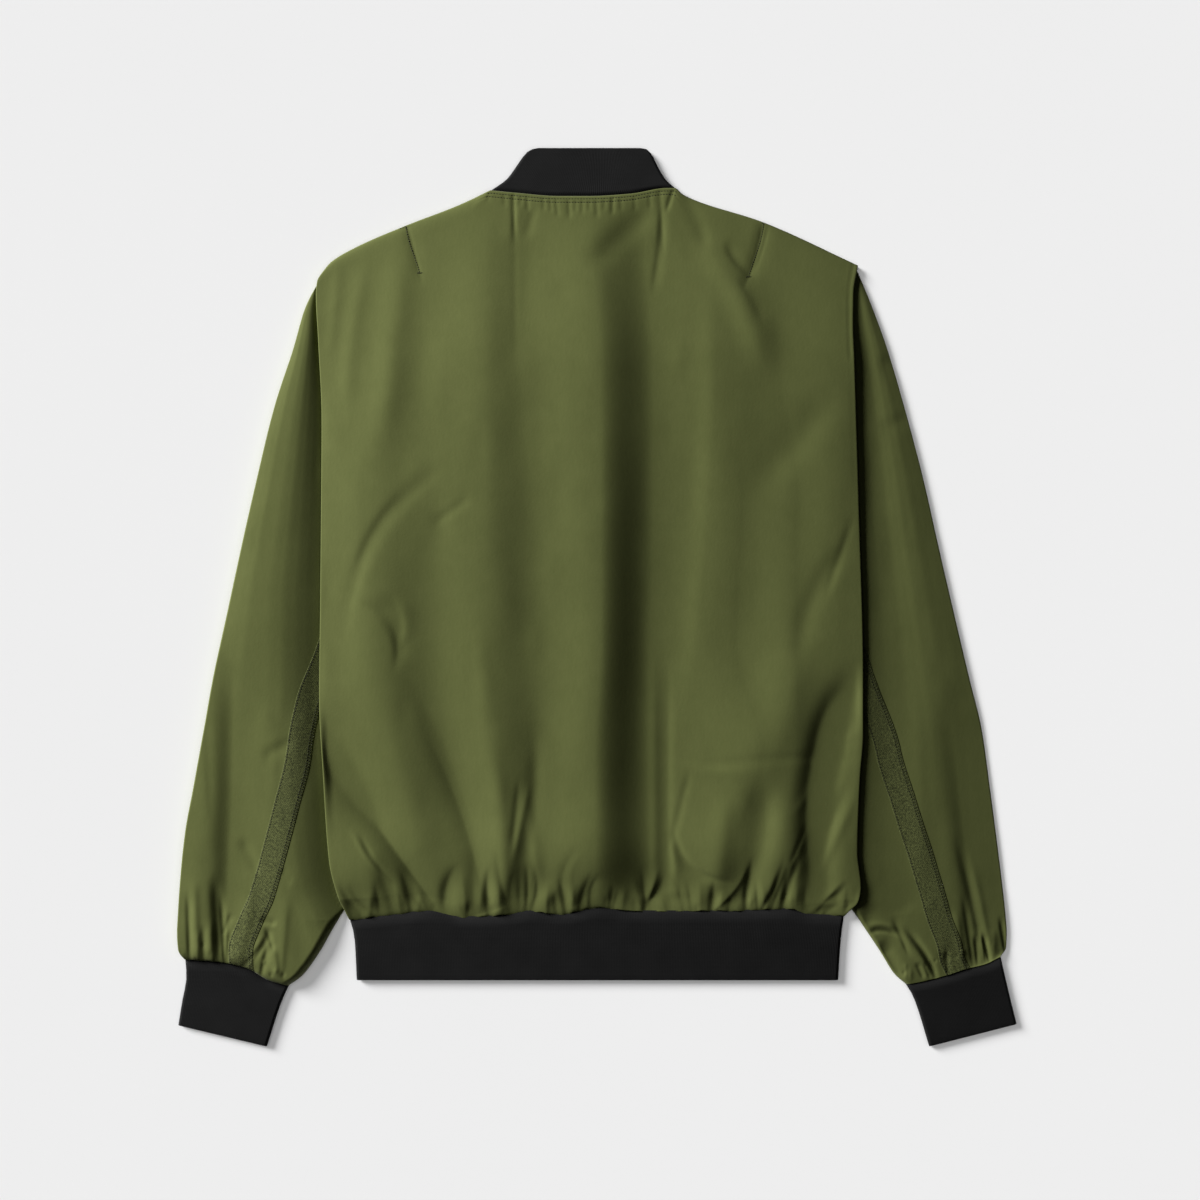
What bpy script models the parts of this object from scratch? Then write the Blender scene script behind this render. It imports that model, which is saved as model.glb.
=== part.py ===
"""Bomber jacket with a knit collar, cuffs and hem band, lying flat with its back up.

The tables are in millimetres and Blender's units are metres. X runs across the jacket, Y from the
hem to the collar, and Z up from the surface that it lies on. Left and right are the picture's, seen
from above with the collar at the top, which are the wearer's own left and right.
"""

import bmesh
import bpy
import numpy as np

MM = 0.001

# Walls and seams
CLOTH = 1.2  # satin nylon
KNIT = 2.2  # rib knit
TAPE = 1.0  # woven tape
SEAM = 0.3  # between pieces that are sewn to each other

# Heights above the surface
SHOULDER_RIM = 2.2  # edge of the back along the shoulder seam
ARMHOLE_RIM = 4.2  # edge of the back over the sleeve's end
SIDE_RIM = 7.8  # edge of the back along the side seam, which lies over the sleeve
NECK_RIM = 7.4
HEM_RIM = 6.8
BAND_HEIGHT = 6.4  # the two layers of the hem band
COLLAR_HEIGHT = 6.2
CUFF_HEIGHT = 5.6
SLEEVE_FLAT = 3.2  # two layers of sleeve under the body
SLEEVE_PUFF = 8.0  # how far the sleeve's back stands above that
TAPE_LIFT = TAPE + 0.5  # from a sleeve's outer face to its tape's
FRONT_LIFT = SLEEVE_FLAT + TAPE_LIFT + 0.45  # front panel over the sleeve and its tape
DOME_EDGE = 11.5  # the back near its edges, before its drape
DOME_RISE = 1.5  # and more in its middle
BACK_LEAST = FRONT_LIFT + 2 * CLOTH + 0.7  # the back's hollows stay clear of the fronts

# Lengths along the surface
EDGE_ROUND = 10.0  # how far in the back's edges are rounded
SHOULDER_ROUND = 16.0
HEM_DIP = 17.0  # the gathers drop to the hem seam over this
PUFF = 2.4  # height of the gathered roll above the hem
PUFF_AT = 30.0
PUFF_WIDTH = 20.0
SLEEVE_ROUND = 10.0
CUFF_DIP = 13.0
ARMHOLE_INSET = 0.9  # the sleeve's end lies this far inside the body's edge
UNDERARM_Y = 46.0
SHOULDER_Y = 268.0
HEM_CORNER_Y = -276.0
FRONT_CLEAR = 20.0  # the front keeps its lift this far past the sleeve
FRONT_SLOPE = 24.0
VALLEY = 8.0  # the sleeve lies flat this far out from the body's edge

# Zip
ZIP_X = -7.0
ZIP_BOTTOM = -330.0
ZIP_TOP = 258.0
ZIP_TAPE_WIDTH = 12.0
ZIP_TEETH = 1.2  # from the zip's middle to a tape's edge
ZIP_EDGE = 5.5  # from the zip's middle to a front's edge
ZIP_RISE = (0.9, 1.5)  # the fronts' rise beside the zip: at its ends, and more along it
ZIP_TAPE_LIFT = CLOTH + 0.6  # from the fronts' outer face to the zip tape's
SLIDER_Y = 236.0
SLIDER_WIDTH = 8.6
PULL_LENGTH = 28.0
PULL_WIDTH = 6.0
PULL_PIN_Z = 1.6  # height of the pin that the pull turns on

# Outline of the body, from the hem up: x, y
SIDE_LEFT = (
    (-215, -279), (-225, -257), (-232, -228), (-237, -159), (-241, -89), (-240, 0),
    (-239, 154), (-242, 223), (-244, 264), (-243, 274), (-238, 283),
)
SIDE_RIGHT = (
    (214, -275), (226, -263), (228, -251), (225, -220), (227, -159), (230, -118),
    (230, -72), (226, 85), (223.5, 169), (222.5, 203), (221.5, 235), (222, 264), (226, 288),
)
SHOULDER_LEFT = ((-238, 283), (-231, 291), (-209, 304), (-165, 323), (-121, 340), (-93, 353))
SHOULDER_RIGHT = ((68, 355), (75, 349), (145, 325), (226, 288))
NECK = ((-93, 353), (-72, 351), (-33, 348), (-7, 348), (28, 350), (61, 355), (68, 355))
HEM = (
    (-215, -279), (-182, -275), (-148, -271), (-120, -276), (-76, -274), (-59, -271),
    (-33, -274), (2, -268), (31, -271), (107, -271), (163, -269), (187, -274), (214, -275),
)
NECKLINE_LEFT = ((-93, 353), (-89, 325), (-74, 295), (-48, 272), (ZIP_X - ZIP_EDGE, 264))
NECKLINE_RIGHT = ((68, 355), (62, 325), (50, 295), (30, 272), (ZIP_X + ZIP_EDGE, 264))

# Outline of the knit pieces: x, y
BAND_WIDTH = 424.0
BAND_BOTTOM = ((-209, -332), (209, -332))
BAND_UNDER = ((-215, -279.3), (214, -275.3))  # its hidden seam, under the fronts
BAND_LEFT = ((-215, -279.3), (-211, -295), (-209, -332))
BAND_RIGHT = ((214, -275.3), (211, -300), (209, -332))
COLLAR_TOP = ((-57, 389), (-50, 390), (36, 390), (43, 389))
COLLAR_LEFT = ((-92.7, 353.3), (-79, 363), (-68, 378), (-62, 386), (-57, 389))
COLLAR_RIGHT = ((67.7, 355.3), (60, 362), (52, 375), (47, 385), (43, 389))
COLLAR_OPEN_LEFT = ((-57, 389), (-50, 352), (-36, 326))  # its free edge in front
COLLAR_OPEN_RIGHT = ((43, 389), (36, 352), (22, 326))
COLLAR_END_Y = 308.0  # top of the collar beside the zip
COLLAR_RUN = 120.0  # from fold to fold, about
CUFF_SEAM_LEFT = ((-358, -314), (-330, -316), (-305, -321), (-285, -332), (-268, -337))
CUFF_SEAM_RIGHT = ((350, -311), (336, -318), (320, -322), (302, -328), (283, -333), (268, -336))
CUFF_OUTER_LEFT = ((-358, -314), (-357, -328), (-361, -352), (-364, -371))
CUFF_INNER_LEFT = ((-268, -337), (-274, -350), (-287, -389.4))
CUFF_OUTER_RIGHT = ((350, -311), (355, -333), (364, -370))
CUFF_INNER_RIGHT = ((268, -336), (274, -346), (288, -389.4))

# Sleeves, a row for each ring from the armhole to the cuff:
# outer fold x, y; inner fold x, y; share of the way across at which the taped seam runs
SLEEVE_LEFT = (
    (-243.0, 268, -239.0, 46, 0.96), (-252, 252, -239.3, 42, 0.96),
    (-264, 215, -239.6, 37, 0.96), (-280, 165, -239.6, 30, 0.96), (-295, 103, -237.6, 18, 0.96),
    (-309, 41, -220.6, -22, 0.9), (-321, -15, -185, -65, 0.64), (-333, -70, -160, -110, 0.48),
    (-341, -115, -158, -158, 0.45),
    (-350, -165, -174, -197, 0.46), (-357, -203, -196, -235, 0.484),
    (-361, -240, -221, -273, 0.507), (-363, -268, -230, -288, 0.48),
    (-364, -290, -242, -309, 0.46), (-363, -305, -257, -329, 0.51), (-358, -314, -268, -337, 0.544),
)
SLEEVE_RIGHT = (
    (222.0, 268, 226.5, 46, 0.96), (238, 254, 226.8, 42, 0.96), (252, 215, 227, 37, 0.96),
    (268, 160, 227, 30, 0.96), (283, 103, 225, 18, 0.96), (297, 41, 208, -22, 0.9),
    (310, -15, 173, -65, 0.642), (323, -70, 150, -110, 0.5), (334, -115, 149, -158, 0.443),
    (341, -165, 166, -197, 0.43), (346, -203, 190, -235, 0.436), (351, -243, 221, -271, 0.47),
    (354, -270, 234, -290, 0.478), (355.5, -290, 246, -308, 0.47), (355, -304, 258, -327, 0.485),
    (350, -311, 268, -336, 0.463),
)
LOWER_SEAM = 0.4  # share of the way across at which the hidden seam runs underneath
TAPE_WIDTH = 22.0
TAPE_SHARE = 0.8  # a sleeve's columns past this share of its way to the seam lie under the tape
RINGS = (0, 0.5, 1.1, 2, 3, 4, 5, 5.5, 6, 7, 8, 9, 10, 11, 12, 13, 13.8, 14.5, 15)
TAPE_RINGS = (*RINGS[7:-1], 14.8)

# How the grids lie on the outlines
NECK_FROM, NECK_TO = 0.3222, 0.6667  # shares across the back between which its neck lies
FRONT_NECK = 0.6  # share across a front's top at which its shoulder ends and its neckline starts
NECKLINE_STEPS = 10
FRONT_SIDE_Y = (-276, -250, -220, -160, -100, -40, 20, 40, 50, 85, 130, 170, 203, 235, 264, 274)

# Drape of the back: a row for each ridge or hollow that runs down it, left to right.
# Its x at four heights, then how far it stands above the even dome at each
DRAPE_Y = (-202, -72, 111, 276)
DRAPE = (
    (-224, -228, -230, -230, 0.0, 0.0, 0.0, 0.0),
    (-146, -191, -194, -165, -0.4, 2.0, 1.4, 3.6),
    (-115, -146, -174, -146, -1.3, -0.8, 1.0, 2.5),
    (-72, -92, -98, -96, -0.3, 1.5, 3.1, 4.1),
    (-50, -44, -53, -72, -1.6, -1.6, 0.7, 3.3),
    (-7, 2, 2, -8, 0.8, 1.1, 3.7, 4.8),
    (54, 61, 57, 54, -3.5, -5.4, -2.3, 0.3),
    (120, 167, 126, 100, 0.6, -0.8, -0.1, 1.9),
    (163, 189, 154, 146, 0.3, 0.3, -0.4, -0.4),
    (212, 214, 212, 212, 0.0, 0.0, 0.0, 0.0),
)

# Creases and gathers of the back: from x, y; to x, y; half width; rise, or depth below zero
BACK_CREASES = (
    (-222, -254, -201, -276, 5.2, -2.0), (-214, -246, -191, -276, 5.2, -1.8),
    (-175, -258, -170, -276, 5.2, -1.5), (-194, -209, -152, -272, 6.3, -2.2),
    (-165, -240, -134, -276, 5.2, -1.8), (-121, -230, -128, -276, 6.3, -2.4),
    (-107, -246, -111, -276, 5.2, -1.5), (-89, -239, -94, -276, 5.6, -2.5),
    (-67, -234, -67, -276, 8.4, -3.0), (-24, -202, -52, -275, 7.3, 2.0),
    (-36, -248, -39, -276, 6.0, -2.2), (-13, -214, -26, -274, 6.3, -2.0),
    (0, -233, -12, -272, 5.4, -1.8), (15, -228, 2, -271, 6.3, -2.2),
    (28, -236, 24, -272, 5.2, -1.5), (40, -234, 42, -272, 5.2, -2.0),
    (64, -246, 64, -274, 7.3, -2.6), (78, -215, 90, -273, 5.4, -1.8),
    (104, -240, 100, -274, 6.3, -2.8), (130, -222, 116, -268, 6.3, 1.8),
    (134, -232, 129, -272, 5.4, -2.5), (157, -224, 143, -272, 5.2, -1.6),
    (172, -220, 162, -272, 6.3, -3.0), (180, -246, 176, -275, 5.2, -1.4),
    (215, -244, 187, -276, 6.3, -2.5), (213, -262, 201, -277, 5.2, -1.5),
    (-224, -154, -170, -250, 11.5, -3.2), (211, -89, 164, -260, 14.0, -4.0),
    (-85, -176, -77, -250, 8.4, 1.2), (-70, -167, -74, -207, 6.3, -1.2),
    (134, -167, 116, -250, 15.0, -1.5), (107, 298, 150, 224, 10.4, -1.2),
    (-220, 272, -218, 172, 7.3, -0.8), (-194, 272, -192, 172, 7.3, -0.8),
    (58, 354, 56, 302, 5.2, -1.3), (-72, 353, -71, 233, 6.3, -0.9),
)
DARTS = ((-166, 325, -154, 281, 5.2, -1.2), (142, 327, 131, 278, 6.3, -1.2))

# Creases and gathers of the sleeves' upper side, with the back's columns
SLEEVE_CREASES_LEFT = (
    (-327, -85, -327, -285, 8.0, -2.2), (-353, -259, -353, -312, 4.5, -1.2),
    (-328, -268, -326, -318, 5.2, -2.4), (-283, -288, -306, -322, 5.2, -2.4),
    (-285, -303, -292, -326, 4.5, -1.4), (-311, -213, -283, -235, 5.2, -1.0),
    (-345, -284, -343, -316, 4.5, -1.4), (-262, -300, -276, -330, 5.0, -1.4),
)
SLEEVE_CREASES_RIGHT = (
    (325, -120, 336, -240, 8.0, -1.6), (315, -246, 335, -319, 6.0, -2.5),
    (337, -290, 341, -316, 4.5, -1.6), (324, -290, 328, -321, 4.5, -1.3),
    (270, -298, 291, -330, 6.0, -2.3), (246, -303, 262, -330, 6.0, -1.8),
    (300, -296, 306, -328, 5.0, -1.2), (258, -240, 268, -292, 8.0, -1.2),
)

# Colours and roughness
SATIN = ((0.075, 0.087, 0.029, 1), 0.42)
TWILL = ((0.062, 0.072, 0.026, 1), 0.75)
RIB = ((0.010, 0.010, 0.010, 1), 0.85)
ZIP_WEAVE = ((0.012, 0.012, 0.012, 1), 0.7)
GUNMETAL = ((0.16, 0.16, 0.155, 1), 0.35)


def blend(knots, values, at):
    """A smooth curve through the knots that doesn't overshoot them, read at the given places."""
    knots, values = np.asarray(knots, float), np.asarray(values, float)
    step = np.diff(knots)
    slope = np.diff(values) / step
    tangent = np.concatenate([slope[:1], np.zeros(len(slope) - 1), slope[-1:]])
    for i in range(1, len(slope)):
        if slope[i - 1] * slope[i] > 0:
            tangent[i] = 2 * slope[i - 1] * slope[i] / (slope[i - 1] + slope[i])
    i = np.clip(np.searchsorted(knots, at, "right") - 1, 0, len(step) - 1)
    u = np.clip((at - knots[i]) / step[i], 0, 1)
    rise = u * u * (3 - 2 * u)
    lead = u * (1 - u) ** 2 * tangent[i] - u * u * (1 - u) * tangent[i + 1]
    return values[i] + rise * (values[i + 1] - values[i]) + step[i] * lead


def ease(u):
    """0 to 1, level at both ends."""
    u = np.clip(u, 0, 1)
    return u * u * (3 - 2 * u)


def quarter_round(u):
    """0 to 1 as a quarter circle rises: upright at 0 and level at 1."""
    return np.sqrt(1 - (1 - np.clip(u, 0, 1)) ** 2)


def path(rows):
    """A smooth line through rows of x, y, read at shares of its length."""
    points = np.array(rows, float)
    run = np.concatenate([[0], np.cumsum(np.hypot(*np.diff(points, axis=0).T))])

    def at(share):
        place = np.asarray(share, float) * run[-1]
        return np.stack([blend(run, points[:, k], place) for k in (0, 1)], axis=-1)

    return at


def chain(first, second, meet):
    """Two paths as one, which meet at a share of it."""

    def at(share):
        share = np.asarray(share, float)
        early = first(np.clip(share / meet, 0, 1))
        late = second(np.clip((share - meet) / (1 - meet), 0, 1))
        return np.where(share[..., None] < meet, early, late)

    return at


def patch(bottom, top, left, right):
    """The region between four paths: s runs along bottom and top, t up left and right."""

    def at(s, t):
        s, t = np.asarray(s, float), np.asarray(t, float)
        s1, t1 = s[:, None], t[:, None]
        corners = (1 - t1) * ((1 - s1) * bottom(0) + s1 * bottom(1))
        corners = corners + t1 * ((1 - s1) * top(0) + s1 * top(1))
        across = (1 - t1) * bottom(s) + t1 * top(s)
        up = (1 - s1) * left(t) + s1 * right(t)
        return across + up - corners

    return at


def edge_x(side, y):
    """x of the body's edge at each y."""
    rows = np.array(side, float)
    return blend(rows[:, 1], rows[:, 0], y)


def creases(rows, x, y):
    """Sum of soft troughs and ridges, each along its own line and fading at its ends."""
    total = np.zeros_like(x)
    for x0, y0, x1, y1, half, rise in rows:
        length = np.hypot(x1 - x0, y1 - y0)
        ux, uy = (x1 - x0) / length, (y1 - y0) / length
        along = ((x - x0) * ux + (y - y0) * uy) / length
        across = (y - y0) * ux - (x - x0) * uy
        fade = ease((along + 0.15) / 0.45) * ease((1.3 - along) / 0.3)
        total += rise * fade * np.exp(-((across / half) ** 2))
    return total


def drape(x, y):
    """Height of the long ridges and hollows, from their rows."""
    rows = np.array(DRAPE, float)
    lines_x = np.stack([blend(DRAPE_Y, row[:4], y) for row in rows])
    lines_z = np.stack([blend(DRAPE_Y, row[4:], y) for row in rows])
    height = np.where(x < lines_x[0], lines_z[0], lines_z[-1])
    for i in range(len(rows) - 1):
        between = (x >= lines_x[i]) & (x < lines_x[i + 1])
        share = ease((x - lines_x[i]) / (lines_x[i + 1] - lines_x[i]))
        height = np.where(between, lines_z[i] + share * (lines_z[i + 1] - lines_z[i]), height)
    return height


# Body ------------------------------------------------------------------------------------------

BACK_TOP = chain(
    path(SHOULDER_LEFT),
    chain(path(NECK), path(SHOULDER_RIGHT), (NECK_TO - NECK_FROM) / (1 - NECK_FROM)),
    NECK_FROM,
)
BACK_PLAN = patch(path(HEM), BACK_TOP, path(SIDE_LEFT), path(SIDE_RIGHT))


def side_rim(y):
    """Height of the back's edge down either side."""
    arm = SIDE_RIM + (ARMHOLE_RIM - SIDE_RIM) * ease((y - UNDERARM_Y - 30) / 40)
    return arm + (SHOULDER_RIM - ARMHOLE_RIM) * ease((y - SHOULDER_Y - 2) / 10)


def back_point(s, t):
    """The back panel's outer face: s runs across it from left to right, t from hem to top."""
    plan = BACK_PLAN(s, t)
    x, y = plan.T
    left, right = edge_x(SIDE_LEFT, y), edge_x(SIDE_RIGHT, y)
    foot, head = path(HEM)(s), BACK_TOP(s)
    from_side = np.minimum(s, 1 - s) * (right - left)
    from_hem = t * (head - foot)[:, 1]
    from_top = (1 - t) * (head - foot)[:, 1]

    middle = 1 - ((x + 10) / 230) ** 2
    dome = DOME_EDGE + DOME_RISE * np.clip(middle, 0, 1)
    cloth = dome + drape(x, y) * ease((y + 310) / 60) + creases(BACK_CREASES + DARTS, x, y)
    cloth += PUFF * np.exp(-(((from_hem - PUFF_AT) / PUFF_WIDTH) ** 2))
    spare = cloth - BACK_LEAST
    cloth = BACK_LEAST + (spare + np.sqrt(spare**2 + 1)) / 2
    cloth = NECK_RIM + (cloth - NECK_RIM) * (0.45 + 0.55 * ease(from_top / 85))

    near_neck = ease((s - NECK_FROM + 0.03) / 0.03) * ease((NECK_TO + 0.03 - s) / 0.03)
    top_rim = SHOULDER_RIM + (NECK_RIM - SHOULDER_RIM) * near_neck
    cloth = HEM_RIM + (cloth - HEM_RIM) * quarter_round(from_hem / HEM_DIP)
    cloth = top_rim + (cloth - top_rim) * quarter_round(from_top / SHOULDER_ROUND)
    rim = np.minimum(side_rim(y), cloth)
    height = rim + (cloth - rim) * quarter_round(from_side / EDGE_ROUND)
    return np.column_stack([x, y, height])


def zip_rise(y):
    """Height of the fronts' edges beside the zip, which leaves the slider its room."""
    ends, more = ZIP_RISE
    return ends + more * ease((y + 275) / 25) * ease((262 - y) / 12)


def front_lift(side, sleeve, x, y):
    """Height of a front's outer face: level on the surface, raised over the sleeve and the zip."""
    out = np.sign(side[0][0])
    rings = np.array(sleeve, float)[:12]
    hidden = path(rings[:, 2:4])(np.linspace(0, 1, 80))
    apart = np.hypot(x[:, None] - hidden[:, 0], y[:, None] - hidden[:, 1]).min(axis=1)
    inner = blend(rings[::-1, 3], rings[::-1, 2], y)
    over = (y < UNDERARM_Y) & (out * (x - inner) > 0)
    apart = np.where(over, 0, apart)
    lift = FRONT_LIFT * (1 - ease((apart - FRONT_CLEAR) / FRONT_SLOPE))
    lift = lift * (1 - 0.5 * ease((-264 - y) / 12))
    beside_zip = zip_rise(y) * (1 - ease((np.abs(x - ZIP_X) - 14) / 18))
    return np.maximum(lift, beside_zip)


def front_point(side, shoulder, neckline, sleeve):
    """A front panel's outer face: s runs from its side to the zip, t from hem to top."""
    out = np.sign(side[0][0])
    y = np.array(FRONT_SIDE_Y + (side[-1][1],), float)
    y[0] = side[0][1]
    inset = SEAM + (ARMHOLE_INSET + 0.5) * ease((y - 40) / 10) * ease((280 - y) / 6)
    outer = np.column_stack([edge_x(side, y) - out * inset, y])
    centre = ZIP_X + out * ZIP_EDGE
    (x0, y0), (x1, y1) = BAND_UNDER
    slope = (y1 - y0) / (x1 - x0)
    hem = [(x, y0 + (x - x0) * slope + 2.5 * SEAM) for x in (outer[0, 0], centre)]
    outer[0] = hem[0]
    top_seam = np.array(shoulder if out < 0 else shoulder[::-1], float)
    top_seam[0] = outer[-1]
    middle = (hem[1], neckline[-1])
    top = chain(path(top_seam), path(neckline), FRONT_NECK)
    plan = patch(path(hem), top, path(outer), path(middle))

    def at(s, t):
        x, y = plan(s, t).T
        return np.column_stack([x, y, front_lift(side, sleeve, x, y)])

    return at


# Sleeves ---------------------------------------------------------------------------------------


def sleeve_plan(rows, side, seam):
    """Places on a sleeve: share w across from its outer fold to its inner, ring k from 0 to 1."""
    table = np.array(rows, float)
    last = len(table) - 1
    out = np.sign(table[0, 0])
    cuff = path(seam)

    def at(w, k):
        ring = np.asarray(k, float) * last
        outer_x, outer_y, inner_x, inner_y = (
            blend(np.arange(last + 1), table[:, column], ring) for column in range(4)
        )
        x, y = outer_x + w * (inner_x - outer_x), outer_y + w * (inner_y - outer_y)
        first = np.clip(1 - ring / 1.5, 0, 1) ** 2
        start_y = table[0, 1] + w * (table[0, 3] - table[0, 1])
        start_x = edge_x(side, start_y) - out * ARMHOLE_INSET
        x = x + first * (start_x - (table[0, 0] + w * (table[0, 2] - table[0, 0])))
        final = np.clip(1 - (last - ring) / 1.5, 0, 1) ** 2
        straight = table[last, :2] + np.asarray(w)[..., None] * (table[last, 2:4] - table[last, :2])
        shift = final[..., None] * (cuff(w) - straight)
        width = np.hypot(inner_x - outer_x, inner_y - outer_y)
        return x + shift[..., 0], y + shift[..., 1], width

    return at


def sleeve_height(rows, side, seam, folds, crest):
    """The upper side of a sleeve: flat under the body, puffed beside it, gathered at the cuff.

    crest is the share of the way from the body's edge to the outer fold at which it is highest.
    """
    plan = sleeve_plan(rows, side, seam)
    out = np.sign(rows[0][0])

    def at(w, k):
        x, y, width = plan(w, k)
        outer_x, outer_y, _ = plan(np.zeros_like(w), k)
        cuff_x, cuff_y, _ = plan(w, np.ones_like(w))
        beside = np.maximum(out * (x - edge_x(side, y)), 0)
        beside = np.where(y < HEM_CORNER_Y, np.hypot(beside, HEM_CORNER_Y - y), beside)
        beside = np.maximum(beside - VALLEY, 0)
        reach = np.maximum(out * (outer_x - edge_x(side, outer_y)), 6)
        puff = SLEEVE_PUFF * (1 - np.exp(-reach / 32))
        swell = 1 - (1 - np.clip(beside / np.minimum(crest * reach, 75), 0, 1)) ** 2
        show = ease(beside / 6)
        height = SLEEVE_FLAT + puff * swell + creases(folds, x, y) * show
        to_cuff = np.hypot(x - cuff_x, y - cuff_y)
        end = CUFF_HEIGHT + 0.4
        height = end + (height - end) * quarter_round(to_cuff / CUFF_DIP)
        return x, y, height, w * width, (1 - w) * width

    return at


def sleeve_layers(height_at):
    """Both layers of a sleeve's outer face; below marks the places on the lower one."""

    def at(w, k, below):
        x, y, top, from_outer, from_inner = height_at(w, k)
        outer_mid, inner_mid = np.minimum(2.6, top / 2), SLEEVE_FLAT / 2
        outer_round = quarter_round(from_outer / np.clip(top - 1, 2, SLEEVE_ROUND))
        inner_round = quarter_round(from_inner / np.clip(top - inner_mid, inner_mid, 8))
        upper = outer_mid + (top - outer_mid) * outer_round
        upper = inner_mid + (upper - inner_mid) * inner_round
        lower = outer_mid * (1 - quarter_round(from_outer / 2.6))
        lower = lower + inner_mid * (1 - quarter_round(from_inner / inner_mid))
        return np.column_stack([x, y, np.where(below, lower, upper)])

    return at


def seam_share(rows, k):
    """Share across a sleeve at which its taped seam runs."""
    table = np.array(rows, float)
    return blend(np.arange(len(table)), table[:, 4], np.asarray(k) * (len(table) - 1))


def ring_width(rows, k):
    table = np.array(rows, float)
    width = np.hypot(*(table[:, 2:4] - table[:, :2]).T)
    return blend(np.arange(len(table)), width, np.asarray(k) * (len(table) - 1))


def sleeve_piece(rows, layers, fold):
    """a runs from the taped seam (1) round the fold (0) to the hidden seam (-1).

    The outer fold is at share 0 across the sleeve, and the inner one at share 1.
    """
    toward = 1 - 2 * fold

    def at(a, k):
        width = ring_width(rows, k)
        to_seam = np.abs(seam_share(rows, k) - fold)
        half_tape = np.minimum(TAPE_WIDTH / 2 / width, 0.6 * to_seam)
        gap = 1.3 * SEAM / width
        bare = to_seam - half_tape
        taped = bare + (a - TAPE_SHARE) / (1 - TAPE_SHARE) * half_tape
        upper = np.where(a > TAPE_SHARE, taped, a / TAPE_SHARE * bare)
        upper = np.minimum(upper, to_seam - gap)
        lower = -a * (abs(LOWER_SEAM - fold) - gap)
        below = a < 0
        return layers(fold + toward * np.where(below, lower, upper), k, below)

    return at


def tape_point(rows, height_at):
    """Tape over the upper seam: a runs across it, from -1 to 1, and k along the sleeve."""

    def at(a, k):
        share = seam_share(rows, k) + a * TAPE_WIDTH / 2 / ring_width(rows, k)
        x, y, top, _, _ = height_at(share, k)
        return np.column_stack([x, y, top + TAPE_LIFT])

    return at


# Knit pieces -----------------------------------------------------------------------------------


def flat_tube(plan, height):
    """Both layers of a flattened tube: a runs 0 to 1 over the upper layer, 1 to 2 back below."""
    half = height / 2

    def at(a, t):
        below = a > 1
        s = np.where(below, 2 - a, a)
        place = plan(s, t)
        width = np.hypot(*(plan(np.ones_like(s), t) - plan(np.zeros_like(s), t)).T)
        edge = quarter_round(np.minimum(s, 1 - s) * width / half)
        return np.column_stack([place, np.where(below, half - half * edge, half + half * edge)])

    return at


def band_point(a, t):
    """The hem band: a runs from the zip under the left half, over the back, and back to the zip."""
    seam = path([(x, y - SEAM) for x, y in HEM])
    sides = path(BAND_BOTTOM), path(BAND_LEFT), path(BAND_RIGHT)
    below = (a < 0) | (a > 1)
    s = np.where(a < 0, -a, np.where(a > 1, 2 - a, a))
    under = patch(path(BAND_UNDER), *sides)(s, t)
    place = np.where(below[:, None], under, patch(seam, *sides)(s, t))
    half = BAND_HEIGHT / 2
    edge = quarter_round(np.minimum(s, 1 - s) * BAND_WIDTH / half)
    return np.column_stack([place, np.where(below, half - half * edge, half + half * edge)])


def collar_point(a, t):
    """The collar: a runs from the zip to the left fold (1), over the neck to the right (2), on."""
    seam = [(x, y + SEAM) for x, y in NECK]
    seam[0], seam[-1] = COLLAR_LEFT[0], COLLAR_RIGHT[0]
    back = patch(path(seam), path(COLLAR_TOP), path(COLLAR_LEFT), path(COLLAR_RIGHT))

    def front(neckline, fold, top):
        end = neckline[-1]
        corner = (end[0], COLLAR_END_Y)
        return patch(path(neckline), path((*top, corner)), path(fold), path((end, corner)))

    left = front([(x + SEAM, y + SEAM) for x, y in NECKLINE_LEFT], COLLAR_LEFT, COLLAR_OPEN_LEFT)
    right = front([(x - SEAM, y + SEAM) for x, y in NECKLINE_RIGHT], COLLAR_RIGHT, COLLAR_OPEN_RIGHT)
    over = (a >= 1) & (a <= 2)
    place = np.where((a < 1)[:, None], left(1 - np.clip(a, 0, 1), t), right(np.clip(a - 2, 0, 1), t))
    place = np.where(over[:, None], back(np.clip(a - 1, 0, 1), t), place)
    top = COLLAR_HEIGHT + 0.3 - 0.8 * t
    half = COLLAR_HEIGHT / 2
    from_fold = np.minimum(np.abs(a - 1), np.abs(a - 2)) * COLLAR_RUN
    edge = quarter_round(from_fold / half)
    height = np.where(over, half + (top - half) * edge, half - half * edge)
    return np.column_stack([place, height])


# Building --------------------------------------------------------------------------------------


def material(name, finish, metallic=0.0):
    made = bpy.data.materials.new(name)
    made.use_nodes = True
    shader = made.node_tree.nodes["Principled BSDF"]
    colour, roughness = finish
    shader.inputs["Base Color"].default_value = colour
    shader.inputs["Roughness"].default_value = roughness
    shader.inputs["Metallic"].default_value = metallic
    made.diffuse_color = colour
    return made


def add(name, mesh, finish):
    """A named object from a bmesh, with its material."""
    data = bpy.data.meshes.new(name)
    mesh.to_mesh(data)
    mesh.free()
    data.materials.append(finish)
    data.shade_smooth()
    made = bpy.data.objects.new(name, data)
    bpy.context.scene.collection.objects.link(made)
    return made


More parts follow.
